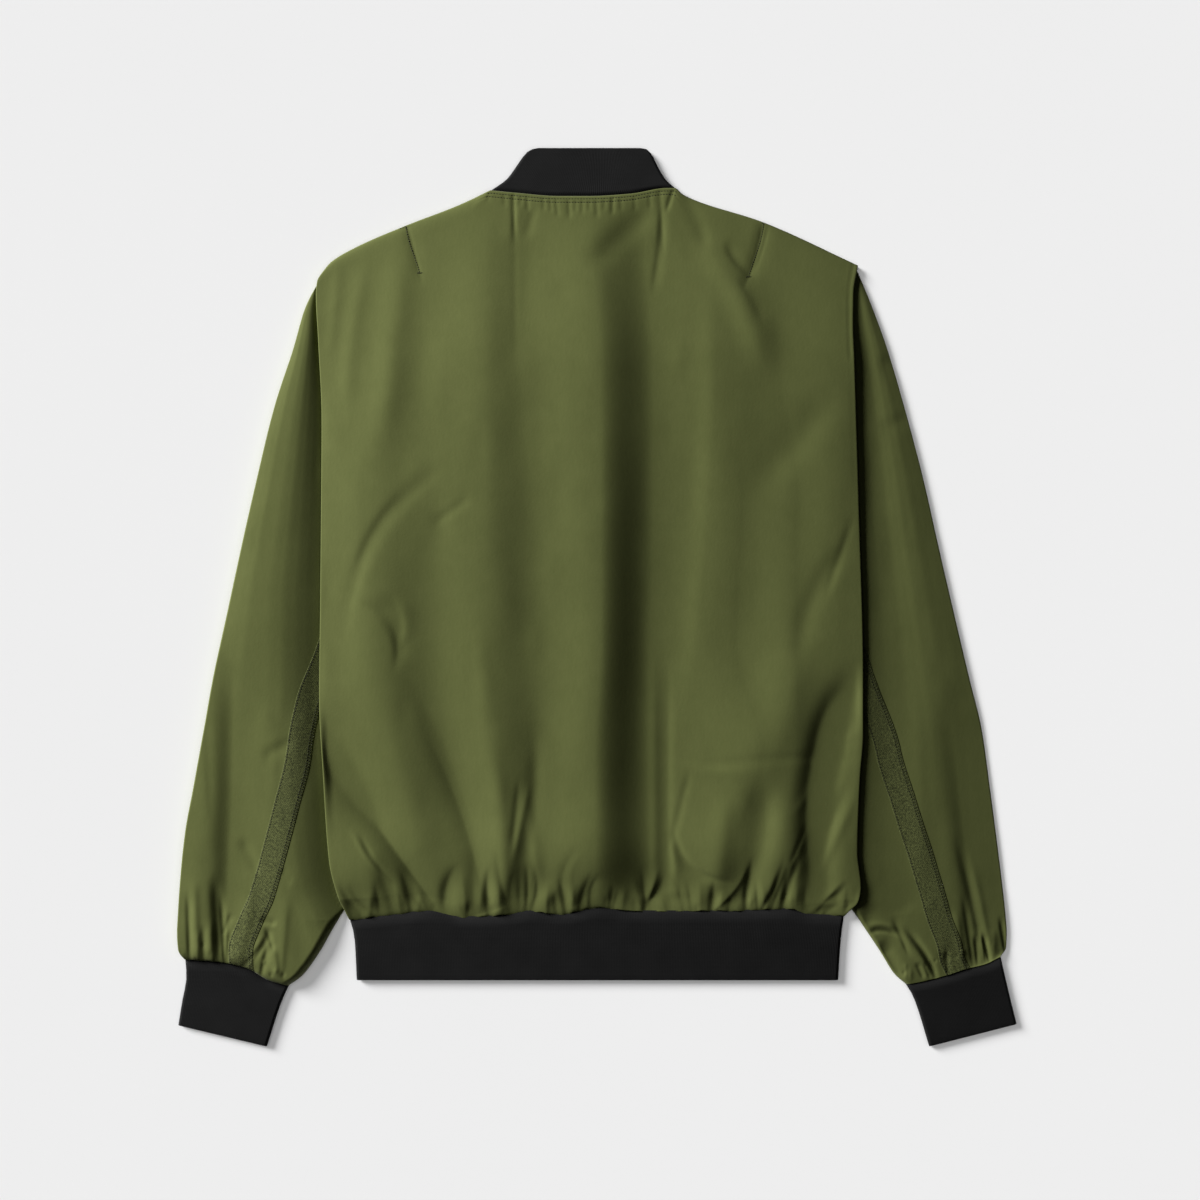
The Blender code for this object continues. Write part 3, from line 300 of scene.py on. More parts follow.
# Folds of the back, with both ends free, from top to bottom: from x, y; to x, y; sideways bow;
# half widths on the left and on the right; rise, or depth below zero
FOLDS = (
    (-224, 287, -230, 220, 0, 5.2, 5.2, 0.25), (-201, 287, -217, 176, -2.6, 8.1, 8.1, 0.5),
    (-170, 300, -184, 150, 2.6, 12.2, 12.2, 0.8), (95, 307, 143, 215, 3.5, 12.2, 15.0, 1.4),
    (52, 341, 2, 295, 0, 10.4, 10.4, -0.8), (77, 344, 93, 308, 1.7, 6.1, 6.1, -0.4),
    (-54, 339, -61, 315, 0, 4.3, 4.3, -0.3), (-67, 341, -76, 311, 0, 7, 4.3, 0.2),
    (57, 341, 50, 276, 0.9, 2.6, 5.0, -0.4), (-72, 343, -71, 228, 0, 3.3, 2.9, -0.12),
    (102, 275, 84, -60, 6.0, 13.0, 30.0, 0.9), (112, 306, 130, 282, -2.0, 3.0, 6.0, -0.5),
    (124, 278, 141, 246, 0, 4.0, 8.0, -0.4),
    (-139, 109, -214, -2, -12.2, 7.8, 6.1, -0.5), (-111, 85, -137, 67, 0, 3.5, 3.5, -0.35),
    (-170, 87, -205, 33, -3.5, 3.5, 4.3, -0.3), (-200, -6, -172, -47, 8.7, 4.3, 12.2, -0.8),
    (-172, -2, -167, -37, 4.3, 4.3, 7, 0.4), (204, 174, 148, 106, 0, 17.4, 13.9, -0.9),
    (218, 46, 176, -37, -7, 8.7, 8.7, -0.6), (221, 67, 201, 11, 0, 3.5, 3.5, -0.35),
    (216, -75, 190, -246, -11.0, 14.0, 17.0, -5.2), (178, -37, 138, -172, 0, 26.0, 17.0, 1.3),
    (60, -68, 60, -249, 0, 7.8, 4.6, -0.8), (49, -54, 50, -246, 0, 4.3, 4.3, 0.3),
    (143, -161, 126, -256, 7, 14.8, 11.3, -2), (111, -176, 103, -246, 0, 10.4, 8.7, 0.8),
    (66, -204, 101, -244, -7.8, 6.1, 3.5, -1.1), (65, -209, 68, -239, 0, 2.6, 5.2, 0.5),
    (80, -148, 211, -138, 2.6, 3.5, 3.5, -0.3), (72, -146, 120, -152, 0, 6.1, 3.5, 0.35),
    (80, -152, 67, -202, 0, 3.5, 3.5, -0.35), (-160, -70, -98, -240, 8.0, 12.0, 26.0, -1.4),
    (-210, -206, -168, -256, -2.6, 2.6, 2.6, 0.7), (-204, -209, -174, -250, -2.6, 2.8, 2.6, -0.8),
    (-102, -37, -92, -141, 0, 8.7, 8.7, 0.4), (-89, -141, -80, -246, 1.7, 8.1, 7.2, 0.7),
    (-68, -161, -73, -207, 0, 2.6, 3.0, -0.4), (-59, -162, -71, -220, 0, 3, 3, 0.35),
    (-54, -124, -64, -228, 3.5, 6.0, 7.0, -0.6), (-61, -176, -50, -246, 0, 5.2, 5.2, 0.4),
    (181, -197, 169, -225, 0, 1.9, 1.9, -0.4), (173, -227, 161, -265, 0, 2.6, 3.1, -0.7),
    (187, -141, 220, -89, 0, 4.3, 4.3, -0.3), (194, -128, 221, -120, 0, 2.6, 2.6, 0.3),
    (199, -150, 176, -181, 0, 4.3, 4.3, 0.4), (218, -159, 181, -220, 3.5, 5.2, 5.2, -0.5),
    (221, -176, 192, -239, 0, 4.3, 4.3, 0.4),
)

# Folds with a crisp line at their foot, in the same columns
CRISP_FOLDS = (
    (-246, -121, -153, -250, 0, 12.0, 38.0, -5.6), (-147, -120, -103, -240, 4.0, 9.0, 20.0, -1.0),
)

# Gathers, from their free ends to the hem seam, in the same columns
GATHERS = (
    (-225, -248, -207, -272, 0, 3.2, 2.6, -1.4), (-214, -250, -189, -275, -3.5, 3.0, 2.6, -1.6),
    (-219, -263, -214, -275, 0, 2.6, 2.6, -1.1), (-190, -224, -179, -263, 0, 6.2, 4.3, -1.9),
    (-192, -246, -188, -275, 0, 2.4, 2.1, -1.3), (-196, -254, -197, -274, 0, 2.6, 2.6, 0.7),
    (-175, -246, -171, -274, 0, 3.5, 3.5, 0.8), (-171, -235, -161, -271, 1.7, 3, 2.3, -1.9),
    (-167, -241, -129, -275, -9.6, 3.9, 3, -1.6), (-156, -249, -146, -274, -1.7, 3.5, 3.5, 0.9),
    (-122, -232, -132, -268, -3.5, 4.3, 3.5, -1.9), (-117, -235, -114, -274, 0, 4.3, 4.3, 0.8),
    (-107, -216, -107, -263, 0, 7, 6.1, -0.9), (-111, -263, -112, -275, 0, 2.1, 2.1, -0.8),
    (-100, -237, -102, -274, 0, 3.5, 3.5, 0.6), (-94, -235, -94, -274, -1.7, 2.3, 1.9, -1.9),
    (-87, -216, -79, -261, -1.7, 3.5, 3.5, -1), (-86, -246, -85, -272, 0, 4.3, 3.5, 0.9),
    (-71, -235, -74, -270, -2.6, 3.5, 2.6, -1.1), (-67, -234, -67, -263, 0, 3.5, 3.5, -1),
    (-61, -232, -61, -271, 0.9, 2.6, 1.7, -2), (-58, -235, -60, -268, 0, 1.7, 2.1, 0.8),
    (-55, -232, -54, -263, 2.6, 2.6, 3.5, -1.5), (-43, -246, -45, -268, 0, 5.2, 5.2, 1.2),
    (-36, -254, -35, -272, -0.9, 3, 2.3, -1.3), (-32, -244, -27, -271, 0, 2.3, 1.9, -1.5),
    (-13, -213, -31, -249, -4.3, 4.5, 4.5, -0.5), (-10, -218, -24, -246, -4.3, 4.5, 4.5, 0.3),
    (-5, -239, -15, -270, -1.7, 3, 2.6, -1.4), (2, -239, -6, -263, -2.6, 2.6, 2.6, -0.9),
    (-21, -248, -22, -269, 0, 2.6, 2.6, 0.6), (13, -249, 11, -269, 0, 1.9, 1.9, -1),
    (18, -253, 14, -270, 0, 1.9, 1.9, -0.9), (24, -249, 21, -268, 0, 3.5, 3.5, 0.7),
    (30, -237, 37, -269, 0, 3.5, 3.5, 0.6), (39, -234, 42, -268, 0, 2.6, 2.6, -1),
    (58, -242, 43, -268, 0.9, 3, 2.6, -1.9), (53, -234, 45, -261, 0, 2.6, 2.6, 0.9),
    (37, -263, 44, -271, 0, 2.6, 2.6, -0.9), (64, -256, 64, -270, 0, 6.1, 6.1, -1.3),
    (70, -246, 74, -269, 0, 2.1, 2.1, -0.7), (78, -244, 82, -270, 0, 2.6, 2.6, -0.8),
    (88, -246, 89, -270, 0, 4.3, 4.3, 0.9), (101, -246, 99, -271, 0, 2.8, 2.4, -2.1),
    (108, -253, 107, -270, 0, 2.6, 2.6, 0.7), (132, -228, 110, -263, 2.6, 2.1, 2.1, 0.8),
    (115, -254, 114, -270, 0, 2.1, 2.1, -0.6), (134, -227, 129, -270, -1.7, 2.6, 2.1, -2),
    (137, -242, 139, -269, 0, 1.9, 1.9, -1), (132, -249, 133, -268, 0, 1.9, 1.9, 0.6),
    (141, -242, 145, -268, 0, 3.5, 3.5, 0.7), (161, -227, 144, -268, 1.7, 2.3, 1.9, -1.2),
    (164, -235, 152, -267, 0, 1.9, 1.9, -0.9), (154, -237, 148, -263, 0, 2.3, 2.3, 0.6),
    (165, -232, 161, -269, 0, 3, 2.4, -1.9), (173, -246, 171, -269, 0, 3.5, 3.5, 0.8),
    (181, -246, 179, -270, 0, 2.6, 2.6, -0.6), (216, -248, 188, -273, 1.7, 2.6, 2.3, -1.5),
    (213, -244, 195, -265, 0, 2.1, 2.1, 0.8), (207, -258, 197, -274, 0, 2.1, 2.1, -0.8),
    (226, -249, 222, -270, 0, 2.6, 2.6, -0.8), (217, -251, 216, -272, 0, 1.9, 1.9, -0.8),
)

# Puckers, from their free ends up to the neck seam, in the same columns
NECK_PUCKERS = (
    (-72, 311, -73, 353, 0, 1.9, 1.9, -1.2), (57, 300, 54, 355, 0, 2.3, 3.4, -0.9),
    (60, 335, 66, 355, 0, 1.9, 1.9, -1.2), (13, 332, 13, 346, 0, 1.7, 1.7, -1),
    (-60, 335, -61, 346, 0, 1.9, 1.9, -0.8), (-67, 339, -66, 347, 0, 1.7, 1.7, -0.5),
    (-46, 335, -47, 346, 0, 1.7, 1.7, -0.6), (-40, 334, -41, 345, 0, 1.7, 1.7, -0.6),
    (-34, 330, -36, 344, 0, 1.7, 1.7, -0.7), (-24, 328, -25, 343, 0, 1.9, 1.9, -0.8),
    (-19, 334, -19, 343, 0, 1.7, 1.7, -0.5), (-13, 332, -13, 343, 0, 1.7, 1.7, -0.6),
    (-7, 334, -7, 343, 0, 1.7, 1.7, -0.5), (0, 329, -1, 343, 0, 1.9, 1.9, -0.7),
    (6, 335, 6, 344, 0, 1.7, 1.7, -0.5), (21, 335, 20, 345, 0, 1.7, 1.7, -0.5),
    (33, 335, 32, 346, 0, 1.9, 1.9, -0.5), (46, 337, 45, 348, 0, 1.9, 1.9, -0.6),
    (-80, 339, -81, 349, 0, 1.9, 1.9, -0.5), (-95, 342, -94, 351, 0, 1.9, 1.9, -0.4),
)

# Darts, from the shoulder down, in the same columns
DARTS = (
    (-166, 325, -154, 281, 0, 5.0, 7.0, -0.35), (-166, 325, -154, 281, 0, 1.2, 1.4, -0.25),
    (144, 327, 131, 278, 1.5, 5.0, 8.0, -0.5), (144, 327, 131, 278, 1.5, 1.2, 1.4, -0.3),
    (148, 325, 137, 286, 1.5, 1.0, 1.2, -0.22),
)

# Folds of the sleeves' upper side, in the same columns
SLEEVE_FOLDS_LEFT = (
    (-315, -54, -322, -285, 2.0, 15.0, 34.0, -4.0), (-339, -89, -335, -176, 0, 4.3, 4.3, -0.3),
    (-354, -257, -353, -308, 0, 2.6, 2.6, -1), (-349, -246, -347, -289, 0, 4.3, 4.3, 0.7),
    (-331, -246, -328, -307, 0, 4.3, 3.5, -1.6), (-326, -261, -323, -315, 0, 2.3, 1.9, -1.3),
    (-341, -285, -341, -314, 0, 2.6, 2.6, -0.8), (-346, -289, -346, -314, 0, 2.6, 2.6, 0.7),
    (-335, -281, -334, -314, 0, 3.5, 3.5, 0.8), (-317, -274, -323, -289, 0, 2.6, 2.6, -0.7),
    (-318, -286, -321, -317, 0, 2.6, 2.6, -1), (-283, -289, -306, -319, 1.7, 3, 2.6, -1.2),
    (-292, -279, -280, -282, 0, 3.5, 3.5, -0.9), (-288, -294, -301, -317, 0, 2.6, 2.6, 0.9),
    (-285, -302, -291, -326, 0, 2.6, 2.6, -1.0), (-280, -303, -277, -324, 0, 3.5, 3.5, 0.9),
    (-287, -286, -281, -302, 0, 2.1, 2.1, -0.8), (-309, -211, -295, -234, 0, 4.3, 3.5, -0.9),
    (-289, -137, -268, -126, 0, 4.3, 4.3, -0.7), (-274, -237, -266, -246, 0, 3.5, 3.5, -0.5),
    (-268, -89, -276, -176, 0, 7, 7, -0.4), (-300, -133, -300, -220, 0, 15.7, 15.7, 0.2),
    (-259, -246, -254, -315, 0, 12.2, 12.2, -0.6), (-269, -263, -273, -320, 0, 4.3, 4.3, 0.6),
    (-298, -263, -311, -315, 0, 5.2, 5.2, 0.6), (-363, -228, -363, -281, 0, 5.2, 7, -0.4),
)
SLEEVE_FOLDS_RIGHT = (
    (305, -89, 326, -268, 0, 12.0, 34.0, -1.6), (314, -216, 335, -315, 1.7, 4.3, 4.5, -1.1),
    (322, -225, 341, -311, 0.9, 4.3, 4.3, 0.7), (335, -294, 340, -315, 0, 1.9, 1.9, -1.4),
    (328, -294, 330, -317, 0, 2.3, 1.9, -1.2), (332, -289, 335, -314, 0, 2.1, 2.1, 0.8),
    (343, -289, 345, -314, 0, 3.5, 3.5, 0.7), (350, -279, 354, -307, 0, 2.1, 2.1, -1),
    (318, -263, 326, -319, 0, 2.6, 2.6, -0.9), (311, -272, 317, -319, 0, 3.5, 3.5, 0.7),
    (302, -305, 304, -328, 0, 1.9, 1.9, -1), (267, -288, 293, -328, 2.6, 3, 2.4, -1.9),
    (260, -294, 286, -324, 3.5, 4.3, 4.3, 0.9), (246, -301, 261, -329, 0, 4.3, 5.2, -2.2),
    (235, -291, 257, -292, 2.6, 2.6, 2.6, -1.1), (234, -285, 256, -286, 1.7, 3.5, 3.5, 0.8),
    (257, -279, 268, -305, 0, 2.6, 2.6, -0.8), (277, -317, 282, -329, 0, 2.3, 2.3, -0.8),
    (283, -317, 288, -329, 0, 2.1, 2.1, -0.7), (274, -89, 282, -228, 0, 12.2, 12.2, 0.7),
    (244, 201, 263, 207, 0, 7, 7, -0.5), (246, 146, 268, 156, 0, 6.1, 6.1, -0.4),
    (234, -246, 235, -285, 0, 7, 7, -0.8), (289, -268, 307, -276, 0, 5.2, 5.2, -0.3),
)

# What each half of the jacket is made from; out is the sign of x on its side
Side = namedtuple(
    "Side",
    "name out seed edge shoulder neckline sleeve flank cross folds cuff_seam cuff_outer cuff_inner",
)
LEFT = Side(
    "left", -1, 1, SIDE_LEFT, SHOULDER_LEFT, NECKLINE_LEFT, SLEEVE_LEFT, FLANK_LEFT, CROSS_LEFT,
    SLEEVE_FOLDS_LEFT, CUFF_SEAM_LEFT, CUFF_OUTER_LEFT, CUFF_INNER_LEFT,
)
RIGHT = Side(
    "right", 1, 2, SIDE_RIGHT, SHOULDER_RIGHT, NECKLINE_RIGHT, SLEEVE_RIGHT, FLANK_RIGHT, CROSS_RIGHT,
    SLEEVE_FOLDS_RIGHT, CUFF_SEAM_RIGHT, CUFF_OUTER_RIGHT, CUFF_INNER_RIGHT,
)
LAST_RING = len(SLEEVE_LEFT) - 1

# Sewing
STITCH = (0.95, 0.36, 0.22)  # half length, half width, half height
STITCH_PITCH = 2.5
STITCH_SHARES = (0.14, 0.86)  # of a pitch, between which a stitch lies
STITCH_LIFT = 0.1  # over the cloth
DART_PITCH = 2.1
TACK_PITCH = 2.8
TACKS = (-1.6, 0, 1.6)  # across the foot of a dart
TACK = (1.4, 0.6)  # half its extent in x and y
NECK_ROWS = (2.7, 5.9)  # from the collar's seam
TAPE_ROW_INSET = 1.5
TAPE_SECOND_INSET = 3.4  # of a second row along its right-hand edge
TAPE_STITCH_LIFT = 0.08

# View and light
FRAME_SIDE = 1.044
VIEW_CENTRE = (0.0022, -0.0022)
LENS = 60.0
SENSOR = 36.0
CLIP_END = 50.0
FLOOR_SIDE = 12.0
FLOOR_DROP = 0.0002
KEY_PLACE = (-2.3, 1.15, 0.77)
KEY_POWER = 196
KEY_SIZE = 1.45
FLOOR_KEY = ((-0.74, 0.50, 0.444), 4.5, 24)  # place, strength, angle in degrees
FLOOR_FILL = ((0.05, -0.05, 1.0), 1.25, 80)
AMBIENT = 0.03


# Curves and surfaces -----------------------------------------------------------------------------


def blend(knots, values, at):
    """A smooth curve through the knots that doesn't overshoot them, read at the given places."""
    knots, values = np.asarray(knots, float), np.asarray(values, float)
    step = np.diff(knots)
    slope = np.diff(values) / step
    tangent = np.concatenate([slope[:1], np.zeros(len(slope) - 1), slope[-1:]])
    for i in range(1, len(slope)):
        if slope[i - 1] * slope[i] > 0:
            tangent[i] = 2 * slope[i - 1] * slope[i] / (slope[i - 1] + slope[i])
    i = np.clip(np.searchsorted(knots, at, "right") - 1, 0, len(step) - 1)
    u = np.clip((at - knots[i]) / step[i], 0, 1)
    rise = u * u * (3 - 2 * u)
    lead = u * (1 - u) ** 2 * tangent[i] - u * u * (1 - u) * tangent[i + 1]
    return values[i] + rise * (values[i + 1] - values[i]) + step[i] * lead


def ease(u):
    """0 to 1, level at both ends."""
    u = np.clip(u, 0, 1)
    return u * u * (3 - 2 * u)


def quarter_round(u):
    """0 to 1 as a quarter circle rises: upright at 0 and level at 1."""
    return np.sqrt(1 - (1 - np.clip(u, 0, 1)) ** 2)


def bell(distance, half):
    """1 at no distance, and falling softly to either side over a half width."""
    return np.exp(-((distance / half) ** 2))


def path(rows):
    """A smooth line through rows of x, y, read at shares of its length."""
    points = np.array(rows, float)
    run = np.concatenate([[0], np.cumsum(np.hypot(*np.diff(points, axis=0).T))])

    def at(share):
        place = np.asarray(share, float) * run[-1]
        return np.stack([blend(run, points[:, k], place) for k in (0, 1)], axis=-1)

    return at


def chain(first, second, meet):
    """Two paths as one, which meet at a share of it."""

    def at(share):
        share = np.asarray(share, float)
        early = first(np.clip(share / meet, 0, 1))
        late = second(np.clip((share - meet) / (1 - meet), 0, 1))
        return np.where(share[..., None] < meet, early, late)

    return at


def patch(bottom, top, left, right):
    """The region between four paths: s runs along bottom and top, t up left and right."""

    def at(s, t):
        s, t = np.asarray(s, float), np.asarray(t, float)
        s1, t1 = s[:, None], t[:, None]
        corners = (1 - t1) * ((1 - s1) * bottom(0) + s1 * bottom(1))
        corners = corners + t1 * ((1 - s1) * top(0) + s1 * top(1))
        across = (1 - t1) * bottom(s) + t1 * top(s)
        up = (1 - s1) * left(t) + s1 * right(t)
        return across + up - corners

    return at


def edge_x(side, y):
    """x of the body's edge at each y."""
    rows = np.array(side, float)
    return blend(rows[:, 1], rows[:, 0], y)


def creases(rows, x, y, taper=0.0, sharp=2.0, fade_in=0.45, gentle=1.0, run_on=1.3):
    """Sum of soft troughs and ridges, each along its own bowed line and fading at its ends.

    taper is how much narrower each one is at its second end, and a lower sharp gives a crisper
    line. fade_in is the share of its length over which it begins, and run_on the share at which
    it has ended. gentle is how much wider than its table the side is that faces left.
    """
    total = np.zeros_like(x)
    for x0, y0, x1, y1, bow, left, right, rise in rows:
        length = np.hypot(x1 - x0, y1 - y0)
        ux, uy = (x1 - x0) / length, (y1 - y0) / length
        along = ((x - x0) * ux + (y - y0) * uy) / length
        across = (y - y0) * ux - (x - x0) * uy
        across = across - bow * 4 * along * (1 - along)
        fade = ease((along + FOLD_LEAD) / fade_in) * ease((run_on - along) / FOLD_TAIL)
        if (rise < 0) == (y1 < y0):
            right = right * gentle
        else:
            left = left * gentle
        half = np.where(across < 0, left, right) * (1 - taper * np.clip(along, 0, 1))
        total += rise * fade * np.exp(-(np.abs(across / half) ** sharp))
    return total


def dents(seed, count, box, radius, depth):
    """Soft round dents and swellings at seeded places in a box: x0, y0, x1, y1."""
    draw = np.random.default_rng(seed)
    places = draw.uniform(box[:2], box[2:], (count, 2))
    sizes = draw.uniform(*radius, count)
    stretch = draw.uniform(1.0, 2.6, count)
    rises = draw.uniform(-depth, depth, count)

    def at(x, y):
        total = np.zeros_like(x)
        for (px, py), size, long, rise in zip(places, sizes, stretch, rises):
            total += rise * np.exp(-(((x - px) / size) ** 2) - ((y - py) / size / long) ** 2)
        return total

    return at


def drape(x, y):
    """Height of the long ridges and hollows, from their rows."""
    rows = np.array(DRAPE, float)
    count = len(DRAPE_Y)
    lines_x = np.stack([blend(DRAPE_Y, row[:count], y) for row in rows])
    lines_z = np.stack([blend(DRAPE_Y, row[count:], y) for row in rows])
    height = np.where(x < lines_x[0], lines_z[0], lines_z[-1])
    for i in range(len(rows) - 1):
        between = (x >= lines_x[i]) & (x < lines_x[i + 1])
        share = ease((x - lines_x[i]) / (lines_x[i + 1] - lines_x[i]))
        height = np.where(between, lines_z[i] + share * (lines_z[i + 1] - lines_z[i]), height)
    return height


# Body ------------------------------------------------------------------------------------------


def hem_puckers(seed, count):
    """Short tucks at seeded places along the hem's seam, in the columns of the folds."""
    draw = np.random.default_rng(seed)
    rows = []
    for share in (np.arange(count) + draw.uniform(0.1, 0.9, count)) / count:
        x, y = path(HEM)(share)
        length = draw.uniform(*PUCKER_LENGTH)
        lean = draw.uniform(-PUCKER_LEAN, PUCKER_LEAN)
        half = draw.uniform(*PUCKER_HALF)
        rise = draw.choice((-1, PUCKER_RIDGE)) * draw.uniform(*PUCKER_RISE)
        rows.append((x + lean * length, y + length, x, y, 0, half, half, rise))
    return tuple(rows)


BACK_TOP = chain(
    path(SHOULDER_LEFT),
    chain(path(NECK), path(SHOULDER_RIGHT), (NECK_TO - NECK_FROM) / (1 - NECK_FROM)),
    NECK_FROM,
)
BACK_PLAN = patch(path(HEM), BACK_TOP, path(SIDE_LEFT), path(SIDE_RIGHT))
HEM_PUCKERS = hem_puckers(9, 34)
BACK_DENTS = dents(3, 260, (-235, -270, 230, 345), (7, 20), 0.22)
HEM_SCALLOPS = dents(5, 90, (-215, -280, 215, -268), (1.6, 4), 0.7)


def side_rim(x, y):
    """Height of the back's edge down either side."""
    side = np.where(x < 0, *SIDE_RIM)
    armhole = np.where(x < 0, *ARMHOLE_RIM)
    start, length = HEM_SIDE_FROM
    full = HEM_SIDE_RISE * (x < 0) * ease((start - y) / length)
    return side + (armhole - side) * ease((y - UNDERARM_Y - ARMHOLE_START) / ARMHOLE_RIM_RUN) + full


def side_foot(y):
    """Height to which the back is turned under down either side."""
    to_armhole = ease((y - UNDERARM_Y - ARMHOLE_START) / ARMHOLE_FOOT_RUN)
    foot = SIDE_FOOT + (ARMHOLE_FOOT - SIDE_FOOT) * to_armhole
    start, length = SHOULDER_FOOT_RUN
    return foot + (SHOULDER_FOOT - ARMHOLE_FOOT) * ease((y - SHOULDER_Y - start) / length)


def back_folds(x, y):
    """Height of the back's single folds, gathers, puckers and dents over its drape."""
    gathers = creases(
        GATHERS + HEM_PUCKERS, x, y, taper=0.1, sharp=1.5, fade_in=0.9, gentle=2.6, run_on=1.7
    )
    folds = creases(FOLDS + DARTS, x, y) + creases(CRISP_FOLDS, x, y, sharp=CRISP)
    folds += GATHER_LIMIT * np.tanh(gathers / GATHER_LIMIT)
    folds += NECK_PUCKER_SHARE * creases(NECK_PUCKERS, x, y, taper=0.2, sharp=1.6) + BACK_DENTS(x, y)
    return folds


def open_cloth(x, y, from_hem):
    """Height of the back away from its seams: a low dome, its drape, and fullness at the hem."""
    dome = DOME_EDGE + DOME_RISE * np.clip(1 - ((x - DOME_X) / DOME_HALF) ** 2, 0, 1)
    below_top = blend(*np.array(TOP_LINE, float).T, x) - y
    risen = TOP_SHARE + (1 - TOP_SHARE) * ease(below_top / NECK_FADE)
    draped = TOP_SHARE + (1 - TOP_SHARE) * ease(below_top / DRAPE_FADE)
    foot, length = DRAPE_FOOT
    cloth = NECK_RIM + (dome - NECK_RIM) * risen
    cloth += RELIEF * drape(x, y) * ease((y - foot) / length) * draped
    return cloth + PUFF * bell(from_hem - PUFF_AT, PUFF_WIDTH)


def down_to_seams(cloth, from_hem, from_top, near_neck):
    """The cloth's height, with its way down to the hem, neck and shoulder seams."""
    lip = HEM_LIP_SHARE * quarter_round(from_hem / HEM_LIP)
    dip = 1 - (1 - np.clip(from_hem / HEM_DIP, 0, 1)) ** HEM_DIP_POWER
    cloth = HEM_RIM + (cloth - HEM_RIM) * (lip + (1 - HEM_LIP_SHARE) * dip)
    top_rim = SHOULDER_RIM + (NECK_RIM - SHOULDER_RIM) * near_neck
    top_round = SHOULDER_ROUND * (1 - NECK_TIGHTER * near_neck)
    cloth = top_rim + (cloth - top_rim) * quarter_round(from_top / top_round)
    deep, half = NECK_FURROW
    for row in NECK_ROWS:
        cloth -= deep * near_neck * bell(from_top - row, half)
    return cloth


def down_to_sides(cloth, x, y, from_side):
    """The cloth's height, with its way down to the rim on either side."""
    (deep, half), (start, length) = WELT_FURROW, WELT_FROM
    cloth -= deep * ease((y - start) / length) * (x > 0) * bell(from_side - ARMHOLE_WELT, half)
    rim = np.minimum(side_rim(x, y), cloth)
    come_down = 1 - (1 - np.clip(from_side / SIDE_SLOPE, 0, 1)) ** 2
    return rim + (cloth - rim) * come_down


def clear_of_fronts(height, x, y):
    """The height, lifted softly where the fronts and the zip need room."""
    least = over_fronts(x, y)
    spare = height - least
    return least + (spare + np.sqrt(spare**2 + CLEARANCE_EASE)) / 2


def back_point(s, t):
    """The back panel's outer face: s runs across it from left to right, t from hem to top.

    Past 0 and 1 both go on down the turned edges.
    """
    over_side = np.clip(np.maximum(-s, s - 1) * BACK_WIDTH, 0, 1)
    over_end = np.clip(np.maximum(-t, t - 1) * BACK_LENGTH, 0, 1)
    s, t = np.clip(s, 0, 1), np.clip(t, 0, 1)
    x, y = BACK_PLAN(s, t).T
    length = (BACK_TOP(s) - path(HEM)(s))[:, 1]
    from_side = np.minimum(s, 1 - s) * (edge_x(SIDE_RIGHT, y) - edge_x(SIDE_LEFT, y))
    from_hem, from_top = t * length, (1 - t) * length
    near_neck = ease((s - NECK_FROM + NECK_END) / NECK_END) * ease((NECK_TO + NECK_END - s) / NECK_END)

    cloth = down_to_seams(open_cloth(x, y, from_hem), from_hem, from_top, near_neck)
    height = down_to_sides(cloth, x, y, from_side)
    folds = back_folds(x, y)
    side, top, hem = FOLD_MARGIN
    at_hem = HEM_FOLD_SHARE + (1 - HEM_FOLD_SHARE) * ease(from_hem / hem)
    inside = ease(from_side / side) * ease(from_top / top) * at_hem
    height += FOLD_RELIEF * folds * inside
    height = np.where(inside > 0, clear_of_fronts(height, x, y), height)
    height -= EDGE_DROP * (1 - quarter_round(from_side / EDGE_ROUND))

    height = height + (np.minimum(side_foot(y), height) - height) * over_side
    inward = np.where(s < 0.5, 1, -1) * EDGE_TUCK * over_side**2
    shoulder_foot, neck_more = TOP_FOOT
    foot = np.where(t < 0.5, BAND_HEIGHT + HEM_FOOT, shoulder_foot + neck_more * near_neck)
    height += over_end * np.minimum(foot - height, 0)
    up = over_end * np.where(t < 0.5, HEM_TURN, TOP_TURN)
    overhang = HEM_OVERHANG + HEM_SCALLOPS(x, y) - OVERHANG_FOLLOW * folds
    y = y - np.clip(overhang, *OVERHANG_RANGE) * (1 - ease(from_hem / OVERHANG_FADE))
    return np.column_stack([x + inward, y + up, height])


def zip_rise(y):
    """Height of the fronts' edges beside the zip, which leaves the slider its room."""
    (start, first), (end, last), (ends, more) = ZIP_RISE_FROM, ZIP_RISE_TO, ZIP_RISE
    return ends + more * ease((y - start) / first) * ease((end - y) / last)


def front_lift(side, x, y):
    """Height of a front's outer face: level on the surface, raised over the sleeve and the zip."""
    rings = np.array(side.sleeve, float)[:HIDDEN_RINGS]
    hidden = path(rings[:, 2:4])(np.linspace(0, 1, 80))
    apart = np.hypot(x[:, None] - hidden[:, 0], y[:, None] - hidden[:, 1]).min(axis=1)
    inner = blend(rings[::-1, 3], rings[::-1, 2], y)
    over_sleeve = (y < UNDERARM_Y) & (side.out * (x - inner) > 0)
    apart = np.where(over_sleeve, 0, apart)
    lift = FRONT_LIFT * (1 - ease((apart - FRONT_CLEAR) / FRONT_SLOPE))
    start, length, share = FRONT_HEM
    lift = lift * (1 - share * ease((start - y) / length))
    beside_zip = zip_rise(y) * (1 - ease((np.abs(x - ZIP_X) - ZIP_CLEAR) / ZIP_SLOPE))
    return np.maximum(lift, beside_zip)


def over_fronts(x, y):
    """Height at which the back would rest on the fronts and the zip."""
    lift = np.where(x < ZIP_X, front_lift(LEFT, x, y), front_lift(RIGHT, x, y))
    beside_zip = OVER_ZIP * (1 - ease((np.abs(x - ZIP_X) - ZIP_CLEAR) / ZIP_ROOM_SLOPE))
    return lift + OVER_FRONTS + beside_zip


